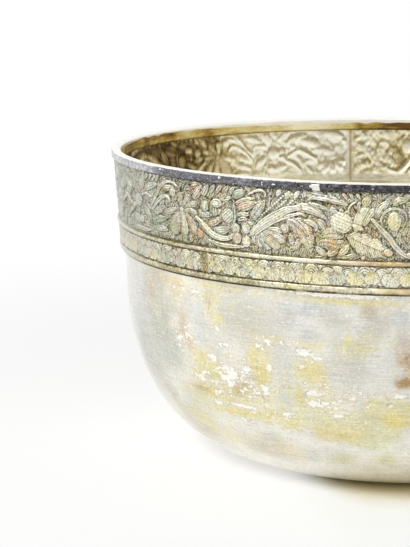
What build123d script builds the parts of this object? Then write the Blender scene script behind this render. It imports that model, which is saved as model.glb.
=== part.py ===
from build123d import *
import math
import os

# Offering bowl of worn silver plate: a raised bowl, an embossed ring lapped round its upper edge,
# a leaf border between two beads, and a rim of a flat outer strip and a rounded lip.
# Millimetres, +Z up, origin at the middle of the underside. The front is -Y.

# Driving dimensions of the whole bowl
rim_diameter = 190.0
bowl_height = 98.5
base_diameter = 100.0
wall_lean = 4.5

# Sheet of the bowl and of the embossed ring, and the lap of one in the other
bowl_sheet = 0.9
band_sheet = 0.9
lap_height = 9.0
neck_height = 9.9

# Lip with its inner leg, and the flat strip outside
lip_height = 0.8
inner_leg_thickness = 1.2
inner_leg_height = 4.6
rim_strip_thickness = 0.9
rim_strip_width = 1.9

# Frieze, beads and leaf border, from the top down
frieze_height = 19.6
upper_bead_width = 1.8
upper_bead_height = 1.15
leaf_border_width = 6.2
leaf_border_thickness = 0.6
lower_bead_width = 2.3
lower_bead_height = 1.0
bead_flank = 0.25

# Soldered seams: angle from +X seen from above, and width of the fill
rim_seam_angle = -104.7
rim_seam_width = 2.4
band_seam_angle = 102.0
band_seam_width = 0.8
border_seam_angle = -127.5
border_seam_width = 0.8

# Heights of the edges, from the rim down
rim_radius = rim_diameter / 2
base_radius = base_diameter / 2
lip_edge_z = bowl_height - lip_height
inner_leg_z = bowl_height - inner_leg_height
rim_strip_z = lip_edge_z - rim_strip_width
upper_bead_top_z = rim_strip_z - frieze_height
upper_bead_low_z = upper_bead_top_z - upper_bead_width
lower_bead_top_z = upper_bead_low_z - leaf_border_width
skirt_z = lower_bead_top_z - lower_bead_width
lap_z = skirt_z + lap_height
belly_z = skirt_z - neck_height


def wall_point(outward, height):
    """Point (radius, height) of a cone parallel to the band's outer face, that far outside it."""
    lean = math.radians(wall_lean)
    slant = (rim_strip_thickness - outward) / math.cos(lean)
    fall = (lip_edge_z - height) * math.tan(lean)
    return (rim_radius - slant - fall, height)


def strip_corners(inner, outer, low, high):
    """Four corners of a strip between two cones and two heights."""
    return [wall_point(inner, low), wall_point(outer, low), wall_point(outer, high), wall_point(inner, high)]


def half_plane(angle):
    """Upright plane through the axis, with its local x axis at this angle from +X."""
    turn = math.radians(angle)
    outward = (math.cos(turn), math.sin(turn), 0)
    normal = (math.sin(turn), -math.cos(turn), 0)
    return Plane(origin=(0, 0, 0), x_dir=outward, z_dir=normal)


def rolled_strip(corners, first_angle, arc):
    """Flat strip rolled round the axis, from the first angle through the arc."""
    with BuildPart() as strip:
        with BuildSketch(half_plane(first_angle)):
            with BuildLine():
                Polyline(*corners, close=True)
            make_face()
        revolve(axis=Axis.Z, revolution_arc=arc)
    return strip


def bead_ring(low, high, proud):
    """Half-oval wire on the band's outer face, with short square flanks."""
    middle = wall_point(bead_flank, (low + high) / 2)
    with BuildPart() as bead:
        with BuildSketch(Plane.XZ):
            with BuildLine():
                Polyline((middle[0], low), wall_point(0, low), wall_point(0, high), (middle[0], high))
                EllipticalCenterArc(middle, proud - bead_flank, (high - low) / 2, start_angle=-90, arc_size=180)
            make_face()
        revolve(axis=Axis.Z)
    return bead


def seam_arc(width, radius):
    """Angle that a seam of this width takes up at this radius."""
    return math.degrees(width / radius)


# Raised bowl: flat base, elliptical corner, and a neck that leans out into the lap
neck_radius = neck_height / math.sin(math.radians(wall_lean))
neck_rise = neck_height * math.tan(math.radians(wall_lean / 2))
belly_radius = wall_point(-band_sheet, skirt_z)[0] - neck_rise
corner_width = belly_radius - base_radius
bowl_face = -band_sheet - bowl_sheet

with BuildPart() as bowl_body:
    with BuildSketch(Plane.XZ):
        with BuildLine():
            Line((0, 0), (base_radius, 0))
            EllipticalCenterArc((base_radius, belly_z), corner_width, belly_z, start_angle=270, arc_size=90)
            neck = JernArc((belly_radius, belly_z), (0, 1), neck_radius, -wall_lean)
            inner_neck = JernArc(
                (belly_radius - bowl_sheet, belly_z), (0, 1), neck_radius + bowl_sheet, -wall_lean
            )
            Polyline(neck @ 1, wall_point(-band_sheet, lap_z), wall_point(bowl_face, lap_z), inner_neck @ 1)
            EllipticalCenterArc(
                (base_radius, belly_z),
                corner_width - bowl_sheet,
                belly_z - bowl_sheet,
                start_angle=270,
                arc_size=90,
            )
            Polyline((base_radius, bowl_sheet), (0, bowl_sheet), (0, 0))
        make_face()
    revolve(axis=Axis.Z)

# Embossed ring with the frieze, and its plain skirt over the lap
band_corners = strip_corners(-band_sheet, 0, skirt_z, lip_edge_z)
band_arc = seam_arc(band_seam_width, rim_radius)
floral_band = rolled_strip(band_corners, band_seam_angle + band_arc / 2, 360 - band_arc)
floral_band_solder = rolled_strip(band_corners, band_seam_angle - band_arc / 2, band_arc)

# Flat strip outside the rim
rim_corners = strip_corners(0, rim_strip_thickness, rim_strip_z, lip_edge_z)
rim_arc = seam_arc(rim_seam_width, rim_radius)
rim_strip = rolled_strip(rim_corners, rim_seam_angle + rim_arc / 2, 360 - rim_arc)
rim_strip_solder = rolled_strip(rim_corners, rim_seam_angle - rim_arc / 2, rim_arc)

# Leaf border between the beads
border_corners = strip_corners(0, leaf_border_thickness, lower_bead_top_z, upper_bead_low_z)
border_arc = seam_arc(border_seam_width, rim_radius)
leaf_border = rolled_strip(border_corners, border_seam_angle + border_arc / 2, 360 - border_arc)
leaf_border_solder = rolled_strip(border_corners, border_seam_angle - border_arc / 2, border_arc)

# Beads that cover the edges of the border and of the skirt
upper_bead = bead_ring(upper_bead_low_z, upper_bead_top_z, upper_bead_height)
lower_bead = bead_ring(skirt_z, lower_bead_top_z, lower_bead_height)

# Lip: a rounded crown over the edges of band and strip, with a leg down the inside
leg_face = -band_sheet - inner_leg_thickness
lip_outer = wall_point(rim_strip_thickness, lip_edge_z)
lip_inner = wall_point(leg_face, lip_edge_z)
lip_middle = ((lip_outer[0] + lip_inner[0]) / 2, lip_edge_z)
lip_half_width = lip_outer[0] - lip_middle[0]

with BuildPart() as lip_ring:
    with BuildSketch(Plane.XZ):
        with BuildLine():
            EllipticalCenterArc(lip_middle, lip_half_width, lip_height, start_angle=0, arc_size=180)
            Polyline(
                lip_inner,
                wall_point(leg_face, inner_leg_z),
                wall_point(-band_sheet, inner_leg_z),
                wall_point(-band_sheet, lip_edge_z),
                lip_outer,
            )
        make_face()
    revolve(axis=Axis.Z)

# One file for each piece
pieces = {
    "bowl_body": bowl_body,
    "floral_band": floral_band,
    "floral_band_solder": floral_band_solder,
    "upper_bead": upper_bead,
    "leaf_border": leaf_border,
    "leaf_border_solder": leaf_border_solder,
    "lower_bead": lower_bead,
    "rim_strip": rim_strip,
    "rim_strip_solder": rim_strip_solder,
    "lip_ring": lip_ring,
}
os.makedirs("parts", exist_ok=True)
for name, piece in pieces.items():
    piece.part.label = name
    export_step(piece.part, f"parts/{name}.step")
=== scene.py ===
# %% [markdown]
# # An offering bowl in worn silver plate
# The real bowl is a raised cup of thin sheet. A second ring of sheet, embossed with scrolling flowers,
# is lapped round its upper edge and finished with beads, a leaf border and a rim. The CAD frame holds
# those pieces as plain solids. Here each one is made again as a surface with its ornament and its wear.
# The frame is loaded first, because the main radii and heights below are read from it.

# %% Load the frame
import bpy
import numpy as np
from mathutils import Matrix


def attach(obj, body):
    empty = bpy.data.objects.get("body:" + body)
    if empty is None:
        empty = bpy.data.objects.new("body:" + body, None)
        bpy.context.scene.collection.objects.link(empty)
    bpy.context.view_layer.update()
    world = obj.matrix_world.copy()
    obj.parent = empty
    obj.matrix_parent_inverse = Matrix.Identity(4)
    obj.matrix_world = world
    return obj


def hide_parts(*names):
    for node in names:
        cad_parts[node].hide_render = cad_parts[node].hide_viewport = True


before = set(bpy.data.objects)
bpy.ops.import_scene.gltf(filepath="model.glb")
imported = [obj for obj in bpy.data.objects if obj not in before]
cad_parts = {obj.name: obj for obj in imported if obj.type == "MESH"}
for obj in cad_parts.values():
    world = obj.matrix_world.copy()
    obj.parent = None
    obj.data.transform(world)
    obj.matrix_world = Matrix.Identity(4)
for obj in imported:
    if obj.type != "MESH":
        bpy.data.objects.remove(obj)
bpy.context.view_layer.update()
print("CAD nodes", sorted(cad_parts))

# %% [markdown]
# ## Sizes from the frame
# All round pieces share one axis, so a vertex is best told as a radius and a height. The embossed ring
# leans outwards a little: two of its edges give that cone, and every other piece sits on it or inside it.
# Millimetres are used throughout, since that is how a metalworker would think of this bowl.

# %% Read radii and heights
MM = 0.001


def node_shape(name):
    """Radius and height in millimetres of every vertex of a CAD node."""
    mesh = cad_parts[name].data
    flat = np.zeros(3 * len(mesh.vertices), np.float32)
    mesh.vertices.foreach_get("co", flat)
    x, y, z = flat.reshape(-1, 3).T.astype(float) / MM
    return np.hypot(x, y), z


def node_levels(name):
    """Lowest and highest height of a CAD node."""
    height = node_shape(name)[1]
    return height.min(), height.max()


band_radius, band_height = node_shape("floral_band")
band_low, band_high = node_levels("floral_band")
strip_low, strip_high = node_levels("rim_strip")
bead_low, bead_high = node_levels("upper_bead")
border_low, border_high = node_levels("leaf_border")
skirt_low = node_levels("lower_bead")[0]
leg_low, lip_high = node_levels("lip_ring")
lap_high = node_levels("bowl_body")[1]
rim_radius = node_shape("lip_ring")[0].max()
NEAR = 0.01
top_edge = band_radius[band_height > band_high - NEAR]
low_edge = band_radius[band_height < band_low + NEAR]
sheet = top_edge.max() - top_edge.min()
lean = (top_edge.max() - low_edge.max()) / (band_high - band_low)


def wall(height, outward=0.0):
    """Radius of the leaning outer face of the ring at a height, moved outwards by so much."""
    return top_edge.max() - (band_high - height) * lean + outward


print(f"ring {band_low:.1f} to {band_high:.1f} mm high, sheet {sheet:.2f} mm, leans {lean:.4f}")

# %% [markdown]
# ## Camera
# The photograph was taken from a little above the rim with a long lens, turned so that the bowl runs out
# of the picture on the right. The place and the angles were found by fitting the curves of the rim and the
# beads, for a focal length chosen from a few trials.

# %% Place the camera
IMAGE_WIDTH, IMAGE_HEIGHT = 410, 547
FOCAL_PIXELS = 1900.0
SENSOR = 36.0
CAMERA_PLACE = (0.0, -0.62276, 0.1692)
CAMERA_ANGLES = (79.63, 0.0, 5.94)
camera_data = bpy.data.cameras.new("photo_camera")
camera_data.sensor_width = SENSOR
camera_data.lens = SENSOR * FOCAL_PIXELS / max(IMAGE_WIDTH, IMAGE_HEIGHT)
camera = bpy.data.objects.new("photo_camera", camera_data)
camera.location = CAMERA_PLACE
camera.rotation_euler = np.radians(CAMERA_ANGLES)
bpy.context.scene.collection.objects.link(camera)
bpy.context.scene.camera = camera
print(f"lens {camera_data.lens:.1f} mm")

# %% [markdown]
# ## Surfaces as arrays
# A ring is a cross-section carried round the axis, so its points form a grid: one row for each point of
# the section, one column for each azimuth. Azimuth 0 faces the front and grows to the right. A closed
# section that runs up the outside and down the inside gives faces that point outwards by themselves.

# %% Grids of points and faces
def ring_points(radius, azimuth, height):
    """Points (r sin a, -r cos a, z) for a radius and height in millimetres and an azimuth in degrees."""
    turn = np.radians(azimuth)
    x, y, z = np.broadcast_arrays(radius * np.sin(turn), -radius * np.cos(turn), height)
    return np.stack([x, y, z], axis=-1) * MM


def skin(rows, columns, join_rows, join_columns):
    """Quads between neighbouring grid points: each takes its own point, the next column and the next row."""
    row = np.arange(rows if join_rows else rows - 1)
    column = np.arange(columns if join_columns else columns - 1)
    row, column = np.meshgrid(row, column, indexing="ij")
    next_row, next_column = (row + 1) % rows, (column + 1) % columns
    first, last = row * columns, next_row * columns
    quads = [first + column, first + next_column, last + next_column, last + column]
    return np.stack(quads, axis=-1).reshape(-1, 4)


def fan(pole, first, second):
    """Triangles from one pole to each pair of neighbours on a ring."""
    return np.stack([np.full(len(first), pole), first, second], axis=-1)


def evenly(line, count):
    """The same line in (radius, height) with points at equal steps along it."""
    line = np.asarray(line, float)
    run = np.concatenate([[0.0], np.cumsum(np.hypot(*np.diff(line, axis=0).T))])
    step = np.linspace(0.0, run[-1], count)
    return np.stack([np.interp(step, run, line[:, 0]), np.interp(step, run, line[:, 1])], axis=-1)


# %% Turn arrays into a piece of the bowl
def make_piece(name, points, faces, node, finish, attributes):
    """Mesh from points and groups of faces. Single large faces, the caps of a cut ring, stay flat."""
    mesh = bpy.data.meshes.new(name)
    corners = np.concatenate([group.ravel() for group in faces])
    sizes = np.concatenate([np.full(len(group), group.shape[1]) for group in faces])
    mesh.vertices.add(points.size // 3)
    mesh.vertices.foreach_set("co", points.astype(np.float32).ravel())
    mesh.loops.add(len(corners))
    mesh.loops.foreach_set("vertex_index", corners.astype(np.int32))
    mesh.polygons.add(len(sizes))
    mesh.polygons.foreach_set("loop_start", (np.cumsum(sizes) - sizes).astype(np.int32))
    mesh.polygons.foreach_set("use_smooth", sizes <= 4)
    for key, values in attributes.items():
        kind, field = ("FLOAT_COLOR", "color") if values.ndim == 3 else ("FLOAT", "value")
        attribute = mesh.attributes.new(key, kind, "POINT")
        attribute.data.foreach_set(field, values.astype(np.float32).ravel())
    mesh.update(calc_edges=True)
    mesh.validate()
    mesh.materials.append(finish)
    piece = bpy.data.objects.new(name, mesh)
    bpy.context.scene.collection.objects.link(piece)
    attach(piece, "root")
    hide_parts(node)
    print(f"{name}: {len(sizes)} faces")


EVERYWHERE = np.ones((1, 1))
NOWHERE = np.zeros((1, 1))


def make_ring(name, radius, azimuth, height, node, slot, finish, whole=True, **attributes):
    """A closed section carried round the axis, joined to itself, or cut and capped at both ends."""
    points = ring_points(radius, azimuth, height)
    rows, columns = points.shape[:2]
    faces = [skin(rows, columns, True, whole)]
    if not whole:
        section = np.arange(rows) * columns
        faces.append(section[None, :])
        faces.append(section[None, ::-1] + columns - 1)
    spread = {key: np.broadcast_to(v, (rows, columns) + v.shape[2:]) for key, v in attributes.items()}
    make_piece(name, points, faces, node, finish, spread)


# %% [markdown]
# ## Unevenness made by hand
# No ring of this bowl is quite round and no wire quite straight. A sum of waves gives that: whole numbers
# of waves round the ring so that it closes, and random phases from a fixed seed so that each run gives the
# same waves. Dabs are soft spots at a chosen azimuth and height, for wear that shows in one place.

# %% Waves and dabs
def ripple(azimuth, height, seed, most_turns, rise, count=28):
    """Sum of cosines of (turns * azimuth + climb * height + phase), scaled to lie mostly in -1 to 1."""
    draw = np.random.default_rng(seed)
    turns = draw.integers(1, most_turns + 1, count)
    climb = draw.uniform(-rise, rise, count)
    phase = draw.uniform(0.0, 2.0 * np.pi, count)
    total = 0.0
    for turn, slope, start in zip(turns, climb, phase):
        total = total + np.cos(turn * np.radians(azimuth) + slope * height + start)
    return total / np.sqrt(count)


def step(value, low, high):
    """Smooth step from 0 at low to 1 at high."""
    share = np.clip((value - low) / (high - low), 0.0, 1.0)
    return share * share * (3.0 - 2.0 * share)


def turned(azimuth, centre):
    """Azimuth measured from a centre, between -180 and 180 degrees."""
    return (azimuth - centre + 180.0) % 360.0 - 180.0


def near_azimuth(azimuth, centre, width):
    """Soft peak of 1 at an azimuth: exp(-(turn / width)^2)."""
    return np.exp(-((turned(azimuth, centre) / width) ** 2))


def dabs(azimuth, height, places):
    """Strongest of many soft spots: strength * exp(-(azimuth / width)^2 - (height / tall)^2)."""
    total = np.zeros(np.broadcast(azimuth, height).shape)
    for centre, level, width, tall, strength in places:
        across = turned(azimuth, centre) / width
        total = np.maximum(total, strength * np.exp(-(across ** 2) - ((height - level) / tall) ** 2))
    return total


# %% [markdown]
# ## Shader sums
# A finish is easier to read as arithmetic than as a web of nodes. One small class wraps a socket, so that
# adding or multiplying two of them adds a Math node. Every other node goes through one method, which sets
# its settings first and then fills its sockets with values or links.

# %% Sockets that can be added and multiplied
class Quantity:
    """A number or colour on its way through a finish. Each operator adds one Math node."""

    def __init__(self, finish, socket):
        self.finish = finish
        self.socket = socket

    def math(self, operation, first, second):
        return self.finish.node("ShaderNodeMath", {"operation": operation}, {0: first, 1: second})

    def __add__(self, other):
        return self.math("ADD", self, other)

    def __radd__(self, other):
        return self.math("ADD", other, self)

    def __sub__(self, other):
        return self.math("SUBTRACT", self, other)

    def __rsub__(self, other):
        return self.math("SUBTRACT", other, self)

    def __mul__(self, other):
        return self.math("MULTIPLY", self, other)

    def __rmul__(self, other):
        return self.math("MULTIPLY", other, self)


# %% One finish and its nodes
class Finish:
    """A material under construction."""

    def __init__(self, name):
        self.material = bpy.data.materials.new(name)
        self.material.use_nodes = True
        self.tree = self.material.node_tree
        self.tree.nodes.clear()
        self.place = self.node("ShaderNodeTexCoord", output="Object")

    def node(self, kind, settings=None, sockets=None, output=0):
        """Any node: its settings are set first, then its sockets get values or links."""
        made = self.tree.nodes.new(kind)
        for key, value in (settings or {}).items():
            if key == "stops":
                self.set_stops(made.color_ramp, value)
            else:
                setattr(made, key, value)
        for key, value in (sockets or {}).items():
            if isinstance(value, Quantity):
                self.tree.links.new(value.socket, made.inputs[key])
            else:
                made.inputs[key].default_value = value
        return Quantity(self, made.outputs[output])

    def set_stops(self, ramp, stops):
        """Gives a colour ramp its (position, colour) stops."""
        while len(ramp.elements) < len(stops):
            ramp.elements.new(1.0)
        for element, (position, colour) in zip(ramp.elements, stops):
            element.position = position
            element.color = colour

    def noise(self, stretch, detail=4.0, roughness=0.55, distortion=0.0, output=0):
        """Noise from 0 to 1, with so many lumps to the metre along x, y and z. Output 1 is a colour."""
        settings = {"vector_type": "POINT"}
        sized = self.node("ShaderNodeMapping", settings, {"Vector": self.place, "Scale": stretch})
        sockets = {"Vector": sized, "Scale": 1.0, "Detail": detail}
        sockets.update({"Roughness": roughness, "Distortion": distortion})
        return self.node("ShaderNodeTexNoise", None, sockets, output)

    def attribute(self, name, output="Fac"):
        """A value or colour that the piece's own points carry."""
        return self.node("ShaderNodeAttribute", {"attribute_name": name}, output=output)

    def between(self, value, low, high):
        """Smooth step of a value from 0 at low to 1 at high."""
        settings = {"interpolation_type": "SMOOTHSTEP"}
        return self.node("ShaderNodeMapRange", settings, {"Value": value, "From Min": low, "From Max": high})

    def ramp(self, value, stops):
        """Colour that runs through stops of (position, colour)."""
        return self.node("ShaderNodeValToRGB", {"stops": stops}, {"Fac": value}, output="Color")

    def mix(self, first, second, share, blend="MIX"):
        """Colour that goes from the first to the second, or to their blend, by a share."""
        settings = {"data_type": "RGBA", "blend_type": blend}
        return self.node("ShaderNodeMix", settings, {0: share, 6: first, 7: second}, output=2)

    def stain(self, colour, tint, share):
        """Colour seen through a film of a tint, by a share."""
        return self.mix(colour, tint, share, "MULTIPLY")

    def bump(self, height, distance):
        """Normal of a surface with this fine unevenness, its height in millimetres."""
        sockets = {"Height": height, "Distance": distance * MM, "Strength": 1.0}
        return self.node("ShaderNodeBump", None, sockets)

    def metal(self, colour, roughness, metallic, normal):
        """Ends the finish in one metal surface."""
        sockets = {"Base Color": colour, "Roughness": roughness, "Metallic": metallic, "Normal": normal}
        surface = self.node("ShaderNodeBsdfPrincipled", None, sockets)
        return self.ended(surface)

    def ended(self, surface):
        """Links a shader to the material's output."""
        end = self.tree.nodes.new("ShaderNodeOutputMaterial")
        self.tree.links.new(surface.socket, end.inputs["Surface"])
        print(f"{self.material.name}: {len(self.tree.nodes)} nodes")
        return self.material


def shade(red, green, blue):
    """Linear colour for the values from 0 to 255 that a screen shows."""
    screen = np.array([red, green, blue]) / 255.0
    linear = np.where(screen <= 0.04045, screen / 12.92, ((screen + 0.055) / 1.055) ** 2.4)
    return (float(linear[0]), float(linear[1]), float(linear[2]), 1.0)


# %% [markdown]
# ## Finish of the plain bowl
# The bowl was silvered over brass. Cleaning has left long turning scratches and pale silver, tarnish lies on
# it in thin films, and on the lower half the silver has worn to yellow brass with scraps of white silver
# still holding on. Where each kind of wear lies is carried by the points of the bowl; its ragged edges come
# from noise, since no mesh is fine enough for them.

# %% Worn silver over brass
PLATE_STOPS = [
    (0.34, shade(202, 201, 195)), (0.44, shade(220, 219, 211)), (0.54, shade(237, 234, 225)),
    (0.64, shade(249, 246, 237)),
]
GRAIN_DARK = shade(172, 166, 150)
GRAIN_LIGHT = shade(254, 253, 248)
BRASS = shade(226, 214, 150)
BRASS_BRIGHT = shade(238, 220, 118)
STAIN = shade(164, 130, 84)
FLAKE = shade(255, 253, 246)
FLAKE_RIM = shade(170, 146, 94)
GILT = shade(206, 197, 162)
GILT_SHADOW = shade(110, 90, 54)


def plate_finish():
    """Brushed silver under films of tarnish, worn to brass, with white flakes and stains, and painted light
    towards the base; gilt inside.
    """
    f = Finish("worn_silver_plate")
    clouds = f.noise((32.0, 32.0, 26.0), 5.0, 0.6)
    streaks = f.noise((170.0, 170.0, 34.0), 5.0, 0.68)
    mottle = f.noise((260.0, 260.0, 300.0), 5.0, 0.68)
    crumbs = f.noise((430.0, 430.0, 560.0), 4.0, 0.66)
    flecks = f.noise((760.0, 760.0, 900.0), 3.0, 0.7)
    specks = f.noise((1200.0, 1200.0, 1400.0), 3.0, 0.7)
    turning = f.noise((110.0, 110.0, 2600.0), 3.0, 0.6)
    # The lower bowl is made lighter towards the base: painted light.
    tone = clouds * 0.34 + streaks * 0.3 + mottle * 0.36 + f.attribute("foot") * 0.07
    colour = f.ramp(tone, PLATE_STOPS)
    film = f.attribute("wash", "Alpha") + (mottle - 0.5) * 0.9 + (streaks - 0.5) * 0.7
    colour = f.stain(colour, f.attribute("wash", "Color"), f.between(film, 0.1, 0.9))
    worn = f.attribute("brass") + (mottle - 0.5) * 1.4 + (crumbs - 0.5) * 1.4 + (flecks - 0.5) * 2.2
    rusted = f.attribute("stain") + (mottle - 0.5) * 1.2 + (flecks - 0.5) * 1.6 + (streaks - 0.5) * 0.8
    scrap = f.attribute("flake") * 0.42 + crumbs * 0.42 + mottle * 0.2 + flecks * 0.72 - 0.17
    stain = f.between(rusted, 0.3, 0.95)
    flake = f.between(scrap, 0.695, 0.745)
    brass = f.between(worn, 0.2, 0.8)
    colour = f.mix(colour, BRASS, brass * 0.75)
    colour = f.mix(colour, BRASS_BRIGHT, f.between(worn, 0.7, 1.4) * 0.75)
    colour = f.mix(colour, STAIN, stain * 0.75)
    colour = f.mix(colour, FLAKE_RIM, f.between(scrap, 0.64, 0.7) * f.attribute("flake"))
    colour = f.mix(colour, FLAKE, flake * 0.95)
    grain = specks * 0.6 + turning * 0.4
    colour = f.mix(colour, GRAIN_DARK, f.between(grain, 0.5, 0.72) * 0.65)
    colour = f.mix(colour, GRAIN_LIGHT, f.between(grain, 0.5, 0.3) * 0.7)
    gilt = f.mix(GILT, GILT_SHADOW, f.between(clouds + (streaks - 0.5) * 0.6, 0.35, 0.75))
    colour = f.mix(colour, gilt, f.attribute("lining"))
    roughness = 0.42 + (turning - 0.5) * 0.2 + stain * 0.1 + brass * 0.06 - flake * 0.06
    fine = turning * 0.4 + specks * 0.5 + flake * 0.9
    return f.metal(colour, roughness, 0.7, f.bump(fine, 0.03))


worn_plate = plate_finish()

# %% [markdown]
# ## The bowl
# The cup was raised from a disc: a flat base, one full curve, and a wall that leans out into the lap. The
# section is a straight line, a quarter ellipse and a circular arc, carried round the axis. Two fans of
# triangles close it at the axis. The hammer has left the wall uneven by about a tenth of a millimetre.

# %% Section of the bowl
BELLY_HEIGHT = 56.0
FIRST_RADIUS = 1.5
bowl_radius, bowl_height = node_shape("bowl_body")
base_radius = bowl_radius[bowl_height < NEAR].max()
bowl_sheet = wall(lap_high, -sheet) - bowl_radius[bowl_height > lap_high - NEAR].min()
lean_angle = np.arctan(lean)
neck_height = skirt_low - BELLY_HEIGHT
belly_radius = wall(skirt_low, -sheet) - neck_height * np.tan(lean_angle / 2.0)


def bowl_side(inset, count):
    """One side of the sheet from near the axis to the lap, moved inwards by the inset.

    Corner: radius = base + (belly - base) sin t, height = belly height * (1 - cos t). Neck: a circular arc.
    """
    turn = np.linspace(0.0, np.pi / 2.0, 400)
    corner_radius = base_radius + (belly_radius - base_radius - inset) * np.sin(turn)
    corner_height = BELLY_HEIGHT - (BELLY_HEIGHT - inset) * np.cos(turn)
    bend = np.linspace(0.0, lean_angle, 40)[1:]
    neck_radius = neck_height / np.sin(lean_angle) + inset
    arc_radius = belly_radius - inset + neck_radius * (1.0 - np.cos(bend))
    arc_height = BELLY_HEIGHT + neck_radius * np.sin(bend)
    side = np.concatenate([[FIRST_RADIUS], corner_radius, arc_radius, [wall(lap_high, -sheet - inset)]])
    level = np.concatenate([[inset], corner_height, arc_height, [lap_high]])
    return evenly(np.stack([side, level], axis=-1), count)


OUTER_ROWS, INNER_ROWS, BOWL_COLUMNS = 150, 66, 440
bowl_outside = bowl_side(0.0, OUTER_ROWS)
bowl_inside = bowl_side(bowl_sheet, INNER_ROWS)[::-1]
bowl_line = np.concatenate([bowl_outside, bowl_inside])
print(f"base {base_radius:.1f} mm, belly {belly_radius:.2f} mm, sheet {bowl_sheet:.2f} mm")

# %% [markdown]
# ## Wear of the bowl
# Handling and cleaning have worn the bowl in patches. Each patch could be painted by hand on an unwrapped
# picture, but a list of soft spots needs no picture and can be read and changed. One entry of the list is
# azimuth in degrees, height, half width in degrees, half height, and strength.

# %% Where the bowl is worn
BRASS_PLACES = [
    (-26.5, 39.0, 2.8, 4.4, 1.0), (-28.0, 45.0, 2.6, 3.6, 0.7), (-23.5, 50.5, 2.6, 1.8, 0.7),
    (-17.0, 50.0, 3.2, 1.8, 0.7), (-15.5, 42.0, 3.0, 4.0, 0.75), (-13.5, 37.0, 2.2, 2.8, 0.55),
    (0.0, 28.0, 4.2, 4.2, 1.0), (3.0, 31.0, 3.6, 3.6, 0.8), (-38.0, 37.0, 3.0, 2.8, 0.9),
    (-42.0, 41.0, 2.6, 4.0, 0.75), (-35.0, 33.0, 4.4, 3.4, 0.75), (-36.0, 25.0, 7.0, 1.8, 0.8),
    (-27.0, 26.0, 3.2, 2.6, 0.75), (-21.5, 23.5, 3.2, 2.0, 0.7), (-9.5, 21.5, 4.4, 2.2, 0.6),
    (-15.0, 23.0, 4.0, 2.0, 0.6), (-36.0, 54.5, 1.6, 1.8, 0.65), (-4.0, 33.5, 4.0, 2.6, 0.55),
    (-7.0, 52.0, 5.0, 4.0, 0.35), (-10.0, 63.4, 12.0, 1.0, 0.5), (-3.0, 63.6, 5.0, 1.3, 0.5),
    (-44.0, 36.0, 4.0, 3.0, 0.55), (-19.2, 33.0, 1.2, 3.4, 0.75), (-30.0, 36.0, 15.0, 11.0, 0.46),
    (-8.0, 30.0, 14.0, 9.0, 0.4), (-46.0, 60.0, 6.0, 4.0, 0.3), (-38.0, 62.0, 6.0, 3.0, 0.4),
    (-48.0, 20.0, 12.0, 6.0, 0.3), (-52.0, 64.0, 10.0, 2.0, 0.4), (-26.0, 64.4, 8.0, 1.2, 0.4),
    (-20.0, 24.0, 22.0, 3.0, 0.4), (-40.0, 30.0, 8.0, 6.0, 0.45),
]
FLAKE_PLACES = [
    (-34.0, 37.5, 1.6, 2.6, 1.0), (-35.5, 39.6, 1.4, 1.2, 1.0), (-38.2, 42.0, 1.8, 1.3, 0.9),
    (-34.6, 34.2, 1.5, 1.4, 1.0), (-30.0, 40.0, 1.3, 1.4, 0.9), (-26.2, 34.0, 0.8, 3.0, 0.9),
    (-32.5, 27.4, 3.6, 0.8, 1.0), (-40.0, 27.0, 2.4, 0.8, 0.8), (-33.0, 22.6, 3.8, 0.7, 0.8),
    (-16.2, 35.0, 2.6, 0.9, 1.0), (-15.4, 31.8, 2.9, 1.4, 1.0), (-17.6, 47.6, 1.8, 1.6, 0.9),
    (-15.4, 45.6, 1.2, 1.0, 0.8), (-25.2, 49.6, 1.4, 1.2, 0.7), (-26.6, 48.0, 1.2, 1.2, 0.7),
    (-36.4, 51.4, 1.1, 0.7, 0.9), (-35.0, 46.6, 2.2, 1.4, 0.7), (-42.6, 61.4, 1.5, 0.9, 0.9),
    (-11.6, 28.0, 1.4, 1.2, 0.7), (-7.0, 36.4, 1.4, 0.7, 0.7), (-1.4, 32.6, 1.4, 0.8, 0.8),
    (0.4, 35.6, 2.2, 1.0, 0.8), (-43.0, 34.5, 2.6, 1.6, 0.75), (-37.5, 31.0, 2.2, 1.4, 0.7),
    (-28.8, 33.0, 1.6, 2.2, 0.75), (-33.0, 36.0, 12.0, 9.0, 0.5), (-22.0, 27.4, 1.4, 0.7, 0.8),
    # The thin band at azimuth -12 and height 65.2 on the next row is a painted highlight under the lower
    # bead.
    (-12.0, 34.0, 12.0, 12.0, 0.38), (-46.0, 47.0, 6.0, 8.0, 0.4), (-12.0, 65.2, 13.0, 0.8, 1.0),
    (-46.0, 61.0, 8.0, 3.0, 0.36), (-22.0, 50.0, 7.0, 3.0, 0.4), (-25.0, 26.0, 16.0, 3.0, 0.4),
    (-40.6, 36.6, 1.4, 1.0, 0.8), (-24.8, 41.4, 1.0, 1.4, 0.7), (-18.0, 43.6, 1.0, 0.8, 0.7),
]
STAIN_PLACES = [
    (-43.0, 30.6, 3.0, 0.9, 0.6), (-58.0, 57.5, 2.4, 3.4, 0.4), (2.0, 47.0, 2.0, 4.0, 0.8),
    (-38.5, 58.0, 0.9, 3.6, 0.5), (1.8, 40.0, 2.8, 2.6, 0.6), (-31.4, 35.4, 1.2, 1.6, 0.7),
    (-33.0, 32.4, 2.0, 1.4, 0.7), (-5.0, 61.8, 1.6, 2.0, 0.4), (-43.0, 52.0, 1.4, 3.4, 0.35),
    (-27.2, 32.2, 0.6, 0.9, 0.8), (-40.0, 38.0, 8.0, 10.0, 0.2), (-11.0, 21.4, 2.0, 1.0, 0.4),
]
# Each quarter has the turn that brings the places there, how much lower they lie, and their share.
QUARTERS = ((0.0, 0.0, 1.0), (96.0, -4.0, 0.75), (178.0, 3.0, 0.9), (263.0, -2.0, 0.65))


def worn(azimuth, height, places):
    """The same places on all four quarters, those out of sight moved and a little fainter."""
    fields = [share * dabs(azimuth - turn, height + drop, places) for turn, drop, share in QUARTERS]
    return np.maximum.reduce(fields)


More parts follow.
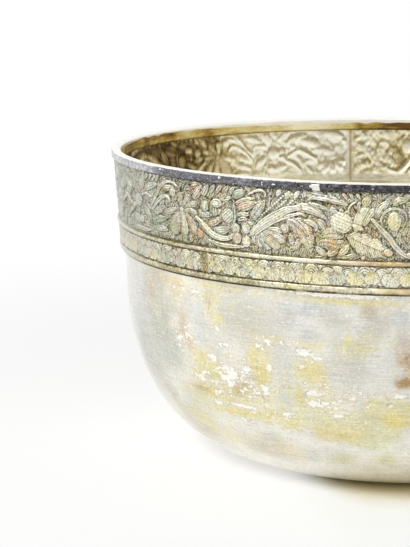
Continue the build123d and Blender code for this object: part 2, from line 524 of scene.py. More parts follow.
def coloured(azimuth, height, tints):
    """Film of tarnish as red, green, blue and share: colours are weighed by their soft places."""
    total, colour = 0.0, 0.0
    for tint, places in tints.items():
        share = worn(azimuth, height, places)
        total = total + share
        colour = colour + share[..., None] * np.array(tint)
    rgb = colour[..., :3] / np.maximum(total, 1e-4)[..., None]
    return np.concatenate([rgb, np.clip(total, 0.0, 1.0)[..., None]], axis=-1)


print("places of wear", len(BRASS_PLACES), len(FLAKE_PLACES), len(STAIN_PLACES))

# %% [markdown]
# ## Films of tarnish on the bowl
# Between bare silver and bare brass lie thin films: cool greys where the silver has dulled, straw and honey
# where brass shines through, brown where it is stained. A film multiplies the colour below it, so most
# tints are pale, and where films meet their colours are averaged by strength.

# %% Where the bowl is tinted
MIST = shade(229, 234, 241)
MOSS = shade(216, 219, 207)
MAUVE = shade(230, 225, 222)
STRAW = shade(250, 244, 206)
HONEY = shade(250, 240, 176)
SAGE = shade(236, 240, 212)
TAN = shade(234, 217, 192)
UMBER = shade(196, 162, 112)
WASH_PLACES = {
    MIST: [
        (-43.5, 57.0, 2.6, 5.0, 0.9), (-40.5, 50.0, 2.4, 5.0, 0.9), (-37.5, 45.0, 2.2, 4.0, 0.7),
        (-18.0, 61.0, 4.5, 3.2, 1.0), (-20.0, 57.0, 3.0, 3.0, 0.5), (-22.0, 42.0, 2.4, 9.0, 0.5),
        (-22.0, 33.0, 2.6, 6.0, 0.5), (-16.5, 53.0, 2.0, 2.0, 0.7), (1.0, 59.5, 2.5, 2.6, 0.8),
        # The broad entry at azimuth -68 cools the whole left side and darkens it; the darkening is painted
        # shade.
        (-68.0, 45.0, 9.0, 30.0, 0.6), (-52.0, 40.0, 4.0, 6.0, 0.6),
    ],
    MOSS: [
        (-55.0, 50.0, 5.0, 12.0, 1.0), (-51.0, 43.0, 4.0, 8.0, 0.9), (-57.0, 25.0, 4.0, 4.0, 0.7),
        (-49.0, 56.0, 3.0, 6.0, 0.6), (-6.0, 26.0, 4.0, 4.0, 0.4), (-8.0, 56.0, 8.0, 8.0, 0.25),
        (-28.0, 18.0, 3.0, 3.0, 0.3), (-32.0, 57.0, 9.0, 8.0, 0.5), (-34.0, 12.0, 4.0, 3.0, 0.3),
        # The broad entry at azimuth -57 on this row darkens the left side further: painted shade.
        (-50.0, 22.0, 11.0, 9.0, 0.42), (-57.0, 40.0, 9.0, 18.0, 0.4),
    ],
    SAGE: [
        (-12.0, 13.0, 3.0, 3.0, 0.8), (-2.0, 13.5, 2.6, 3.0, 0.9), (-6.0, 19.0, 4.0, 2.4, 0.8),
        (-2.0, 22.0, 4.0, 3.0, 0.8), (1.0, 33.0, 3.0, 3.0, 0.7), (-16.0, 27.0, 5.0, 3.0, 0.5),
    ],
    MAUVE: [
        (-59.0, 56.0, 3.0, 5.0, 1.0), (-56.0, 62.0, 6.0, 3.0, 0.7), (-52.0, 55.0, 3.0, 4.0, 0.6),
        (-9.0, 43.0, 5.0, 7.0, 0.55), (-4.0, 57.0, 3.0, 5.0, 0.6), (1.0, 52.0, 2.0, 5.0, 0.8),
        (-12.0, 58.0, 4.0, 3.0, 0.4), (-62.0, 35.0, 5.0, 10.0, 0.5), (-30.0, 14.0, 6.0, 5.0, 0.6),
        (-29.0, 54.0, 12.0, 8.0, 0.4), (-55.0, 12.0, 10.0, 6.0, 0.5),
    ],
    STRAW: [
        (-45.0, 28.0, 5.0, 3.0, 0.6), (-33.0, 30.0, 13.0, 8.0, 0.6), (-17.0, 42.0, 3.0, 5.0, 0.9),
        (-16.0, 33.0, 5.0, 5.0, 0.7), (-27.0, 42.0, 3.0, 7.0, 0.9), (-24.0, 26.0, 6.0, 3.0, 0.8),
        (-10.0, 24.0, 8.0, 4.0, 0.8), (-3.0, 30.0, 5.0, 4.0, 0.9), (-10.0, 64.0, 14.0, 1.4, 0.8),
        (-38.0, 57.0, 1.8, 5.0, 0.5), (-40.0, 38.0, 4.0, 6.0, 0.8), (-8.0, 50.0, 4.0, 3.0, 0.7),
        (-49.0, 18.0, 4.0, 4.0, 0.9), (-37.0, 64.5, 7.0, 1.4, 0.7), (-46.0, 62.0, 4.0, 3.0, 0.4),
        (-40.0, 15.0, 7.0, 4.0, 0.5), (-26.0, 13.0, 8.0, 4.0, 0.3),
    ],
    HONEY: [
        (-27.5, 39.5, 1.2, 3.2, 0.8), (0.0, 28.0, 2.5, 2.5, 1.0), (-37.5, 38.0, 2.2, 2.2, 0.7),
        (-22.0, 24.5, 2.5, 1.5, 0.6), (-10.5, 21.0, 3.0, 1.5, 0.5), (-33.0, 25.0, 6.0, 1.0, 0.6),
        (-19.0, 34.0, 0.8, 3.0, 0.6), (-16.0, 42.0, 1.8, 2.4, 0.6), (-36.5, 54.5, 1.2, 1.6, 0.35),
    ],
    TAN: [
        (-48.0, 62.0, 2.0, 2.0, 1.0), (-46.0, 50.0, 1.6, 6.0, 0.7), (-44.5, 45.0, 1.4, 3.0, 0.7),
        (-53.0, 63.0, 5.0, 2.0, 0.6), (-59.0, 58.0, 2.0, 2.5, 0.8), (-5.5, 61.0, 1.4, 2.0, 0.7),
        (2.0, 47.0, 2.4, 4.0, 1.0), (-41.0, 31.0, 4.0, 1.6, 0.6), (-31.5, 34.0, 1.4, 2.0, 0.8),
        (-38.8, 58.5, 1.0, 4.0, 0.9), (-20.0, 12.0, 10.0, 5.0, 0.2), (-15.0, 21.0, 3.0, 2.0, 0.6),
        (-57.0, 20.0, 3.0, 3.0, 0.3),
    ],
    UMBER: [
        (1.4, 40.0, 2.2, 2.2, 1.0), (-32.8, 32.5, 1.8, 1.6, 0.6), (-43.0, 30.5, 3.0, 0.9, 0.5),
        (-11.0, 21.5, 1.6, 0.9, 0.4), (-58.0, 57.5, 1.2, 2.0, 0.3),
    ],
}
print("places of tarnish", sum(len(places) for places in WASH_PLACES.values()))

# %% [markdown]
# ## Carrying the bowl round
# The section goes round the axis with most of its columns on the photographed quarter, where small patches
# of wear need close points. A fan of triangles closes the shell at each pole. The hammered unevenness fades
# out near the base and under the ring, where the bowl has to fit.

# %% Make the bowl
FRONT_FROM, FRONT_TO, FRONT_COLUMNS = -76.0, 12.0, 230
HAMMER_DEPTH = 0.13
HAMMER_FOOT, HAMMER_LAP = (6.0, 22.0), (60.0, 64.5)
front_columns = np.linspace(FRONT_FROM, FRONT_TO, FRONT_COLUMNS, endpoint=False)
other_columns = np.linspace(FRONT_TO, FRONT_FROM + 360.0, BOWL_COLUMNS - FRONT_COLUMNS, endpoint=False)
bowl_azimuth = np.concatenate([front_columns, other_columns])
line_radius, line_height = bowl_line[:, :1], bowl_line[:, 1:]
hammered = HAMMER_DEPTH * ripple(bowl_azimuth, line_height, 11, 26, 0.22)
hammered = hammered * step(line_height, *HAMMER_FOOT) * (1.0 - step(line_height, *HAMMER_LAP))
is_lining = (np.arange(len(bowl_line)) >= OUTER_ROWS).astype(float)[:, None]
wear = {
    "brass": worn(bowl_azimuth, line_height, BRASS_PLACES),
    "flake": worn(bowl_azimuth, line_height, FLAKE_PLACES),
    "stain": worn(bowl_azimuth, line_height, STAIN_PLACES),
    # Lighter towards the base, most in the last few millimetres: painted light.
    "foot": 2.0 - step(line_height + 0.0 * bowl_azimuth, 14.0, 50.0) - step(line_height, 3.0, 11.0),
    "lining": is_lining + 0.0 * bowl_azimuth,
}
bowl_points = ring_points(line_radius + hammered, bowl_azimuth, line_height).reshape(-1, 3)
poles = np.array([[0.0, 0.0, 0.0], [0.0, 0.0, bowl_sheet * MM]])
column = np.arange(BOWL_COLUMNS)
following = (column + 1) % BOWL_COLUMNS
last_row = (len(bowl_line) - 1) * BOWL_COLUMNS
under, above = len(bowl_points), len(bowl_points) + 1
bowl_faces = [
    skin(len(bowl_line), BOWL_COLUMNS, False, True),
    fan(under, following, column),
    fan(above, last_row + column, last_row + following),
]
pole_wear = {key: np.append(field.ravel(), [0.0, float(key == "lining")]) for key, field in wear.items()}
wash = coloured(bowl_azimuth, line_height, WASH_PLACES).reshape(1, -1, 4)
pole_wear["wash"] = np.pad(wash, ((0, 0), (0, len(poles)), (0, 0)))
make_piece(
    "raised_bowl", np.concatenate([bowl_points, poles]), bowl_faces,
    "bowl_body", worn_plate, pole_wear,
)

# %% [markdown]
# ## Chasing tools
# The ring was worked from the front with small punches over pitch. Each form is set down over what was
# there before, with a tool groove pressed round its outline and its own scored veins. A sheet being
# chased is kept as four fields on a grid of azimuth and height: how high it stands, where its dark lines
# run, the count of its fine ribs, and how pale it is. A form is told by the distance inside its outline.

# %% A sheet under the tools
EDGE = 0.26
GROOVE = 0.16
GROOVE_DEPTH = 0.18
SCORE_DEPTH = 0.16
INNER_LINE, INNER_WIDTH = 0.55, 0.12
RIB_PITCH = 0.72


def smooth_line(points, steps=9):
    """Catmull-Rom curve: a cubic between each two points, its slopes taken from their neighbours."""
    p = np.asarray(points, float)
    p = np.vstack([2.0 * p[0] - p[1], p, 2.0 * p[-1] - p[-2]])
    t = np.linspace(0.0, 1.0, steps, endpoint=False)[:, None]
    a, b, c, d = p[:-3, None], p[1:-2, None], p[2:-1, None], p[3:, None]
    cubic = 2.0 * b + (c - a) * t + (2.0 * a - 5.0 * b + 4.0 * c - d) * t ** 2
    cubic = 0.5 * (cubic + (3.0 * b - a - 3.0 * c + d) * t ** 3)
    return np.vstack([cubic.reshape(-1, 2), p[-2]])


def nearest(line, x, y):
    """Distance to a line, share of its length at the nearest point, and side: 1 left, -1 right."""
    run = np.diff(line, axis=0)
    length = np.hypot(run[:, 0], run[:, 1])
    before = np.concatenate([[0.0], np.cumsum(length)])
    px, py = x[..., None] - line[:-1, 0], y[..., None] - line[:-1, 1]
    share = np.clip((px * run[:, 0] + py * run[:, 1]) / length ** 2, 0.0, 1.0)
    ox, oy = px - share * run[:, 0], py - share * run[:, 1]
    gap = np.hypot(ox, oy)
    best = gap.argmin(axis=-1)[..., None]
    fields = gap, (before[:-1] + share * length) / before[-1], np.sign(run[:, 0] * oy - run[:, 1] * ox)
    return [np.take_along_axis(field, best, axis=-1)[..., 0] for field in fields]


class Chasing:
    """The sheet on its grid, and the tools that work on it. Paths are (azimuth, height) points."""

    def __init__(self, azimuth, height, degrees_round):
        self.scale = np.pi / 180.0 * wall((band_low + band_high) / 2.0)
        self.across = azimuth * self.scale
        self.up = height
        self.period = degrees_round * self.scale
        shape = (len(height), len(azimuth))
        self.relief, self.lines, self.ribs, self.pale = (np.zeros(shape) for _ in range(4))
        self.forms = 0

    def line_of(self, path):
        """Path in degrees and millimetres as a smooth line in millimetres."""
        return smooth_line(np.asarray(path, float) * np.array([self.scale, 1.0]))

    def window(self, points, reach):
        """Grid places that a form can touch: their indices, and x and y in millimetres."""
        first, half = points[0, 0], self.period / 2.0
        across = first + (self.across - first + half) % self.period - half
        low, high = points.min(axis=0) - reach, points.max(axis=0) + reach
        columns = np.flatnonzero((across > low[0]) & (across < high[0]))
        rows = np.flatnonzero((self.up > low[1]) & (self.up < high[1]))
        x, y = np.meshgrid(across[columns], self.up[rows])
        return np.ix_(rows, columns), x, y

    def press(self, where, inside, raised, scored, ribs, pale=0.0):
        """Lays one form down: soft edge, groove round its outline, scored lines, and its count of ribs."""
        cover = step(inside, -EDGE / 2.0, EDGE / 2.0)
        outline = np.exp(-((inside / GROOVE) ** 2))
        scored = np.clip(scored + 0.6 * np.exp(-(((inside - INNER_LINE) / INNER_WIDTH) ** 2)), 0.0, 1.0)
        self.relief[where] = self.relief[where] * (1.0 - cover) + (raised - SCORE_DEPTH * scored) * cover
        self.relief[where] -= GROOVE_DEPTH * outline
        self.lines[where] = np.maximum(self.lines[where] * (1.0 - cover) + scored * cover, 0.75 * outline)
        self.ribs[where] = np.where(inside > 0.0, ribs, self.ribs[where])
        self.pale[where] = self.pale[where] * (1.0 - cover) + pale * cover
        self.forms += 1

    def stem(self, path, half, level=0.75, pale=0.25):
        """Ribbed band along a path, a little rounded; its ribs run along it."""
        line = self.line_of(path)
        where, x, y = self.window(line, half + 1.0)
        gap, along, side = nearest(line, x, y)
        width = half * (0.5 + 0.5 * np.sin(np.pi * np.clip(along, 0.08, 0.92)))
        q = np.clip(gap / width, 0.0, 1.0)
        count = max(2.0, round(2.0 * half / RIB_PITCH))
        raised = level * (0.6 + 0.4 * np.sqrt(1.0 - q * q))
        self.press(where, width - gap, raised, 0.0 * q, 0.5 * count * (side * q + 1.0), pale)

    def leaf(self, path, half, veins=False, lobes=0, level=0.62, pale=0.0):
        """Pointed leaf: half width follows a sine along the path, scalloped into lobes where asked.

        Its ribs run along it, or slant out from a midrib where it has veins or lobes.
        """
        line = self.line_of(path)
        where, x, y = self.window(line, half + 1.0)
        gap, along, side = nearest(line, x, y)
        width = half * np.sin(np.pi * np.clip(along, 0.02, 0.985) ** 0.85) ** 0.7
        if lobes:
            width = width * (0.7 + 0.3 * np.abs(np.sin(np.pi * lobes * along)) ** 0.6)
        width = np.maximum(width, 0.08)
        q = np.clip(gap / width, 0.0, 1.0)
        scored = 0.0 * q
        ribs = 0.5 * max(2.0, round(2.0 * half / RIB_PITCH)) * (side * q + 1.0)
        if veins or lobes:
            length = np.hypot(*np.diff(line, axis=0).T).sum()
            ribs = (along * length - 0.8 * gap) / RIB_PITCH
            scored = np.exp(-((gap / 0.14) ** 2)) * (along < 0.9)
        domed = level * (0.55 + 0.45 * np.sqrt(1.0 - q * q) * np.sin(np.pi * np.clip(along, 0.15, 0.85)))
        self.press(where, width - gap, domed, scored, ribs, pale)

    def petal(self, path, half, level=0.66, pale=0.0):
        """Blunt petal that widens towards its round end, with ribs along it."""
        line = self.line_of(path)
        where, x, y = self.window(line, half + 1.0)
        gap, along, side = nearest(line, x, y)
        width = half * (0.4 + 0.6 * along ** 0.7) * np.sqrt(np.clip(1.0 - along ** 6, 0.004, 1.0))
        q = np.clip(gap / width, 0.0, 1.0)
        count = max(2.0, round(2.0 * half / RIB_PITCH))
        domed = level * (0.45 + 0.3 * along + 0.25 * np.sqrt(1.0 - q * q))
        self.press(where, width - gap, domed, 0.0 * q, 0.5 * count * (side * q + 1.0), pale)

    def spray(self, centre, tips, half):
        """Petals that open from one centre to each tip, set down from the outer ones to the middle one."""
        middle = len(tips) // 2
        order = sorted(range(len(tips)), key=lambda n: -abs(n - middle))
        for n in order:
            half_way = ((centre[0] + tips[n][0]) / 2.0, (centre[1] + tips[n][1]) / 2.0)
            self.petal([centre, half_way, tips[n]], half)

    def boss(self, centre, size, tilt=0.0, mark="plain", level=0.7, pale=0.2):
        """Domed oval. Its mark is plain, a coil, a stipple of dots, a row of stripes, or a scored grid."""
        middle = np.array([[centre[0] * self.scale, centre[1]]])
        where, x, y = self.window(middle, max(size) + 0.8)
        turn = np.radians(tilt)
        along = (x - middle[0, 0]) * np.cos(turn) + (y - middle[0, 1]) * np.sin(turn)
        over = (y - middle[0, 1]) * np.cos(turn) - (x - middle[0, 0]) * np.sin(turn)
        q = np.hypot(along / size[0], over / size[1])
        scored, ribs = 0.0 * q, 0.0 * q + 0.5
        if mark == "coil":
            ribs = (q * min(size) + 0.12 * np.arctan2(over, along)) / RIB_PITCH
        if mark == "stripes":
            ribs = over / RIB_PITCH
        if mark == "stipple":
            scored = step(np.sin(along * 5.2 + np.sin(over * 5.2)) * np.sin(over * 5.6), 0.3, 0.7)
        if mark == "grid":
            ribs = over / 0.95
            course = 0.5 * (np.floor(ribs) % 2.0)
            scored = 0.6 * np.exp(-((np.sin(np.pi * (along / 1.0 + course)) / 0.4) ** 2))
        domed = level * (0.5 + 0.5 * np.sqrt(np.clip(1.0 - 0.9 * q * q, 0.0, 1.0)))
        self.press(where, (1.0 - q) * min(size), domed, scored * (q < 0.92), ribs, pale)

    def pearls(self, path, radius, count, level=0.6):
        """Row of small round beads at equal steps along a path."""
        line = evenly(self.line_of(path), count)
        where, x, y = self.window(line, radius + 0.8)
        gap = np.hypot(x[..., None] - line[:, 0], y[..., None] - line[:, 1]).min(axis=-1)
        q = np.clip(gap / radius, 0.0, 1.0)
        domed = level * (0.5 + 0.5 * np.sqrt(1.0 - q * q))
        self.press(where, radius - gap, domed, 0.0 * q, 0.5 + 0.0 * q, 0.3)

    def score(self, path, half=0.2, depth=0.3):
        """A single tool line pressed into whatever is there."""
        line = self.line_of(path)
        where, x, y = self.window(line, half + 1.0)
        gap, along = nearest(line, x, y)[:2]
        mark = np.exp(-((gap / half) ** 2)) * np.sin(np.pi * np.clip(along, 0.15, 0.85))
        self.relief[where] -= depth * mark
        self.lines[where] = np.maximum(self.lines[where], 1.25 * mark)


# %% Lay out one quarter of the frieze
PANEL_COLUMNS = 720
FRIEZE_ROWS = 92
QUARTER = 90.0
FRIEZE_START = -78.0
FRIEZE_MARGIN = 0.3
frieze_azimuth = FRIEZE_START + np.arange(PANEL_COLUMNS) * QUARTER / PANEL_COLUMNS
frieze_height = np.linspace(bead_high - FRIEZE_MARGIN, strip_low + FRIEZE_MARGIN, FRIEZE_ROWS)
frieze = Chasing(frieze_azimuth, frieze_height, QUARTER)
print(f"sheet {FRIEZE_ROWS} x {PANEL_COLUMNS} places, {frieze.scale:.3f} mm to the degree")

# %% [markdown]
# ## Drawing the frieze
# First the ground is matted with a punch and filled with small leaves, as on the real ring, where no bare
# sheet is left between the forms. Then come the scrolls, leaves, buds and flowers, read off the photograph
# from left to right. One quarter of the ring is drawn, and it is repeated four times round the bowl.

# %% Matted ground and small leaves
grid_azimuth, grid_height = np.meshgrid(frieze_azimuth, frieze_height)
frieze.ribs[:] = grid_azimuth * frieze.scale / RIB_PITCH + 1.5 * np.sin(grid_height * 0.7)
frieze.lines[:] = 0.15
SPRIGS = 520
SPRIG_LOW, SPRIG_HIGH = 76.4, 95.6
QUARTER_WAVE = 2.0 * np.pi / QUARTER
draw = np.random.default_rng(5)
sprig_places = draw.uniform(FRIEZE_START, FRIEZE_START + QUARTER, SPRIGS)
for middle, level in zip(sprig_places, draw.uniform(SPRIG_LOW, SPRIG_HIGH, SPRIGS)):
    flow = np.sin(2.0 * QUARTER_WAVE * middle + 0.25 * level)
    flow = flow + 1.3 * np.cos(3.0 * QUARTER_WAVE * middle - 0.3 * level)
    heading = flow + draw.normal(0.0, 0.5)
    reach, bend = draw.uniform(1.4, 3.0), draw.uniform(-0.9, 0.9)
    across, rise = reach * np.cos(heading) / frieze.scale, reach * np.sin(heading)
    bow = (middle - bend * np.sin(heading) / frieze.scale, level + bend * np.cos(heading))
    path = [(middle - across, level - rise), bow, (middle + across, level + rise)]
    half, slanted, high = draw.uniform(0.7, 1.3), draw.random() < 0.5, draw.uniform(0.22, 0.45)
    frieze.leaf(path, half, veins=slanted, level=high, pale=draw.uniform(-0.25, 0.2))
print("ground leaves", frieze.forms)

# %% Left end: long leaves, a bud on its stem, and a round flower
frieze.spray((-74.0, 82.0), [(-70.4, 80.6), (-71.4, 78.4), (-74.0, 77.8), (-76.4, 79.4), (-77.0, 82.0)], 1.5)
frieze.leaf([(-76.6, 91.2), (-74.0, 92.4), (-71.0, 92.8)], 1.6)
frieze.leaf([(-74.6, 85.4), (-71.4, 86.6), (-68.6, 86.4)], 1.5)
frieze.leaf([(-71.4, 88.2), (-68.6, 89.6), (-66.0, 90.2)], 1.7)
frieze.stem([(-70.0, 83.4), (-67.0, 86.0), (-65.4, 86.6), (-63.0, 84.6)], 0.8)
frieze.leaf([(-62.4, 89.0), (-64.2, 90.4), (-66.6, 92.4)], 1.7)
frieze.boss((-64.2, 88.2), (1.3, 1.3), mark="coil")
frieze.stem([(-60.8, 84.4), (-62.5, 83.2), (-64.4, 81.6), (-66.0, 79.6)], 0.7)
frieze.leaf([(-62.6, 81.2), (-60.6, 80.6), (-58.4, 79.2)], 1.3, veins=True)
frieze.leaf([(-57.4, 84.6), (-55.6, 83.0), (-54.4, 80.8)], 1.3, veins=True)
frieze.leaf([(-62.0, 77.9), (-58.0, 77.4), (-54.0, 77.8)], 0.8)
frieze.boss((-58.6, 80.4), (1.6, 1.3), mark="coil")
frieze.leaf([(-58.2, 89.6), (-57.4, 92.2), (-56.2, 95.0)], 1.7, pale=0.2)
frieze.leaf([(-56.6, 90.0), (-54.0, 91.6), (-51.4, 92.6)], 1.2)
frieze.stem([(-57.4, 88.3), (-56.0, 88.9), (-54.6, 88.7), (-53.9, 88.1)], 0.5)
frieze.boss((-59.4, 86.2), (2.6, 2.1), tilt=20.0, mark="stripes", level=0.8, pale=0.3)
frieze.boss((-61.8, 84.3), (1.3, 0.9), tilt=30.0, pale=0.4)
for place in (-57.4, -55.8, -54.4, -53.0, -51.8):
    frieze.petal([(place, 93.4), (place + 0.6, 94.4), (place + 1.2, 95.5)], 0.7, pale=0.2)
frieze.score([(-62.9, 90.4), (-62.3, 90.7), (-61.9, 90.5)], 0.3)
frieze.score([(-55.6, 85.9), (-55.2, 86.1), (-54.8, 85.9)], 0.35)

# %% Two long stems that swing up to the rim
frieze.leaf([(-51.0, 89.2), (-49.2, 91.4), (-47.4, 92.2), (-45.6, 92.0)], 1.2)
frieze.leaf([(-53.6, 83.4), (-51.2, 84.8), (-49.0, 86.4)], 1.4, lobes=4)
frieze.leaf([(-53.2, 80.8), (-51.0, 82.0), (-48.4, 82.8)], 1.3, lobes=3)
frieze.leaf([(-52.8, 78.6), (-50.6, 79.2), (-48.4, 79.0)], 1.1)
frieze.leaf([(-49.2, 77.4), (-48.0, 78.2), (-46.9, 79.4)], 0.7, pale=0.3)
frieze.stem(
    [(-53.8, 85.7), (-52.2, 88.2), (-50.7, 91.0), (-49.3, 93.0), (-47.8, 94.0), (-46.0, 94.0), (-45.0, 93.2)],
    0.6,
)
frieze.stem([(-53.4, 84.6), (-51.6, 87.2), (-50.0, 88.8), (-48.6, 89.5), (-47.6, 88.9), (-47.3, 88.2)], 0.75)
frieze.score([(-49.6, 90.3), (-48.4, 90.7), (-47.3, 89.6), (-47.1, 88.0)], 0.34)
frieze.score([(-46.4, 94.5), (-45.6, 94.4), (-44.8, 94.6)], 0.26)
frieze.score([(-53.2, 83.6), (-53.4, 81.0), (-53.7, 78.4)], 0.2)

# %% Open flower with its ring of petals
frieze.petal([(-44.6, 86.2), (-46.8, 85.4), (-49.0, 84.6)], 1.3)
frieze.petal([(-44.4, 85.4), (-45.9, 82.0), (-46.6, 78.2)], 2.9)
frieze.petal([(-41.2, 81.8), (-40.0, 80.4), (-38.4, 79.2)], 1.5)
frieze.petal([(-43.0, 85.4), (-41.4, 82.6), (-40.0, 79.4)], 1.7)
frieze.petal([(-43.6, 85.6), (-43.4, 82.4), (-42.9, 78.8)], 1.8, level=0.8, pale=0.35)
frieze.boss((-46.4, 91.0), (1.5, 1.4), mark="coil")
frieze.petal([(-43.8, 87.0), (-44.2, 89.2), (-44.0, 91.6)], 1.4)
frieze.petal([(-43.6, 87.0), (-42.6, 89.0), (-41.4, 91.0)], 1.5)
frieze.petal([(-43.0, 86.8), (-41.2, 88.2), (-39.6, 88.8)], 1.3)
frieze.petal([(-43.0, 86.2), (-41.4, 86.4), (-39.8, 85.8)], 1.1, pale=0.2)
frieze.boss((-43.9, 86.3), (0.9, 0.8), level=0.6, pale=-0.1)
frieze.score([(-43.5, 92.0), (-42.9, 93.6), (-42.2, 94.6)], 0.3)
frieze.score([(-44.7, 91.0), (-44.2, 92.2), (-43.9, 93.2)], 0.24)
frieze.score([(-42.0, 93.0), (-41.4, 94.0), (-40.8, 94.8)], 0.26)

# %% Lower scroll, cream bud, and round leaf
frieze.leaf([(-40.6, 90.2), (-39.4, 92.2), (-38.2, 94.6)], 1.5)
frieze.leaf([(-38.4, 91.0), (-37.4, 93.2), (-36.6, 95.0)], 1.1)
for place in (-36.4, -34.9, -33.4, -32.0):
    frieze.leaf([(place, 92.6), (place + 0.8, 94.0), (place + 1.4, 95.3)], 0.9)
frieze.leaf([(-37.8, 78.6), (-35.0, 77.5), (-31.6, 77.3), (-28.0, 77.7)], 0.8)
frieze.leaf([(-39.5, 86.8), (-37.8, 86.0), (-36.0, 85.8)], 1.1)
frieze.leaf([(-37.2, 83.2), (-35.2, 84.3), (-33.6, 85.8)], 1.3)
frieze.leaf([(-35.8, 82.0), (-34.0, 81.6), (-31.8, 82.8)], 1.4)
frieze.stem(
    [(-39.9, 84.6), (-38.0, 82.5), (-36.2, 80.2), (-34.2, 79.4), (-32.4, 79.7), (-31.2, 80.8)], 1.1, pale=0.15
)
frieze.boss((-32.4, 86.3), (2.3, 2.2), tilt=40.0, mark="stripes", level=0.6)
frieze.stem([(-30.9, 91.0), (-30.7, 88.0), (-30.8, 85.2), (-32.0, 82.6)], 0.4, pale=0.0)
frieze.spray((-34.2, 90.6), [(-33.6, 92.9), (-32.4, 92.8), (-31.4, 91.9)], 0.8)
frieze.boss((-34.8, 89.7), (2.1, 1.4), mark="stripes", level=0.8, pale=0.35)
frieze.boss((-37.7, 88.4), (1.6, 1.7), mark="coil", pale=0.3)
frieze.score([(-37.0, 84.3), (-35.4, 85.3), (-34.2, 86.4)], 0.26)
frieze.score([(-38.2, 91.2), (-37.2, 91.0), (-36.4, 90.4)], 0.24)
frieze.score([(-36.0, 79.0), (-34.2, 78.4), (-32.2, 78.6)], 0.24)

# %% Cluster of coiled berries and the leaves above it
frieze.leaf([(-30.3, 86.9), (-28.9, 87.4), (-27.5, 87.2)], 0.9)
frieze.leaf([(-30.2, 85.2), (-29.0, 86.0), (-27.9, 85.6)], 0.7)
frieze.leaf([(-31.2, 92.0), (-29.8, 93.2), (-28.2, 94.0)], 1.4)
frieze.leaf([(-30.6, 90.4), (-28.4, 91.6), (-26.3, 92.3)], 0.8, pale=0.2)
frieze.leaf([(-30.4, 88.7), (-28.4, 89.7), (-25.9, 91.0)], 1.4)
frieze.leaf([(-27.4, 85.6), (-26.4, 87.8), (-25.1, 90.4), (-24.3, 92.2)], 1.6, veins=True)
for centre in [(-30.7, 82.8), (-28.4, 83.2), (-30.4, 80.0), (-28.5, 79.2)]:
    frieze.boss(centre, (1.6, 1.7), mark="coil", pale=0.25)
frieze.stem([(-27.6, 93.4), (-26.2, 94.4), (-25.0, 94.9), (-24.2, 94.0), (-24.4, 93.0)], 0.5, pale=0.5)
for shift in (0.0, 1.3, 2.6):
    frieze.pearls([(-25.0 + shift, 87.6), (-22.8 + shift, 90.6), (-20.4 + shift, 94.2)], 0.42, 12)
for centre in [(-21.6, 94.6), (-19.9, 94.0), (-18.2, 94.4)]:
    frieze.boss(centre, (0.8, 1.5), tilt=-30.0, mark="stripes", pale=0.3)
frieze.score([(-26.9, 93.3), (-26.3, 94.0), (-25.6, 94.4)], 0.26)

# %% Great scroll with its drooping leaf and lobed round leaf
frieze.leaf([(-17.4, 81.6), (-18.6, 79.4), (-20.0, 77.6)], 1.3, lobes=3, pale=0.2)
frieze.boss((-20.7, 84.2), (1.5, 1.4), mark="coil")
frieze.boss((-19.4, 81.2), (0.9, 2.0), tilt=10.0, mark="stripes")
frieze.spray(
    (-25.8, 82.8),
    [(-26.7, 79.2), (-25.3, 78.0), (-23.6, 77.7), (-21.7, 78.3), (-20.5, 80.6), (-21.2, 83.0)],
    1.9,
)
frieze.leaf(
    [(-20.4, 86.8), (-18.4, 85.6), (-17.0, 83.6), (-16.3, 81.0), (-15.7, 77.4)], 2.7, lobes=5, level=0.75
)
frieze.stem([(-20.8, 87.2), (-18.6, 86.4), (-17.2, 84.6), (-16.3, 82.6)], 0.5, pale=0.4)
frieze.leaf([(-17.2, 86.8), (-15.8, 86.4), (-14.8, 85.2), (-15.0, 83.6)], 0.9, pale=0.2)
frieze.stem(
    [(-26.4, 81.8), (-24.7, 83.9), (-22.9, 85.8), (-21.0, 87.2), (-19.3, 88.1), (-17.6, 88.8), (-16.7, 88.2)],
    0.7,
)
frieze.leaf(
    [(-19.5, 90.0), (-17.2, 90.6), (-15.4, 90.1), (-14.0, 88.9), (-12.7, 87.4)], 1.5, level=0.7, pale=0.15
)
frieze.stem(
    [(-27.2, 82.1), (-25.5, 84.4), (-23.7, 86.4), (-21.8, 88.2), (-20.0, 89.7), (-17.8, 90.5)], 1.4, pale=0.15
)
frieze.score([(-20.6, 86.5), (-18.6, 85.2), (-17.2, 83.2), (-16.6, 81.6)], 0.16)
frieze.score([(-16.7, 89.6), (-16.6, 88.6), (-16.9, 87.8)], 0.2)

# %% Long top leaf, hatched bud and its leaves
frieze.leaf(
    [(-8.8, 91.8), (-10.5, 92.8), (-12.5, 93.5), (-14.6, 93.8), (-16.4, 93.0)], 1.15, level=0.75, pale=0.35
)
frieze.leaf([(-13.2, 94.3), (-14.2, 95.1), (-15.8, 95.0)], 0.8)
frieze.leaf([(-16.3, 92.0), (-14.8, 91.5), (-13.0, 90.7), (-12.2, 89.6)], 0.7)
for place in (-12.2, -10.8, -9.6, -8.4, -7.2):
    frieze.petal([(place + 0.3, 93.6), (place, 94.5), (place - 0.3, 95.4)], 0.7)
frieze.leaf([(-8.9, 80.4), (-9.8, 78.6), (-10.8, 77.2)], 1.1, pale=0.35)
frieze.leaf([(-10.8, 79.0), (-12.0, 77.9), (-13.2, 77.0)], 1.1)
frieze.leaf([(-12.8, 77.2), (-14.0, 78.2), (-15.0, 79.8)], 1.0, pale=0.35)
frieze.leaf([(-9.4, 81.2), (-11.2, 80.4), (-13.0, 81.0), (-14.8, 80.0)], 1.8, lobes=4)
frieze.leaf([(-9.6, 82.9), (-11.8, 83.6), (-14.2, 82.4)], 1.8, veins=True)
frieze.leaf([(-9.3, 83.2), (-6.4, 80.9), (-3.4, 79.0), (-1.2, 77.6)], 3.4, lobes=4, level=0.62)
frieze.score([(-9.6, 83.8), (-9.1, 81.6), (-8.3, 79.4), (-7.6, 78.0), (-6.8, 76.5)], 0.3, 0.4)
frieze.score([(-5.7, 78.8), (-5.2, 78.0), (-4.9, 76.9)], 0.24)
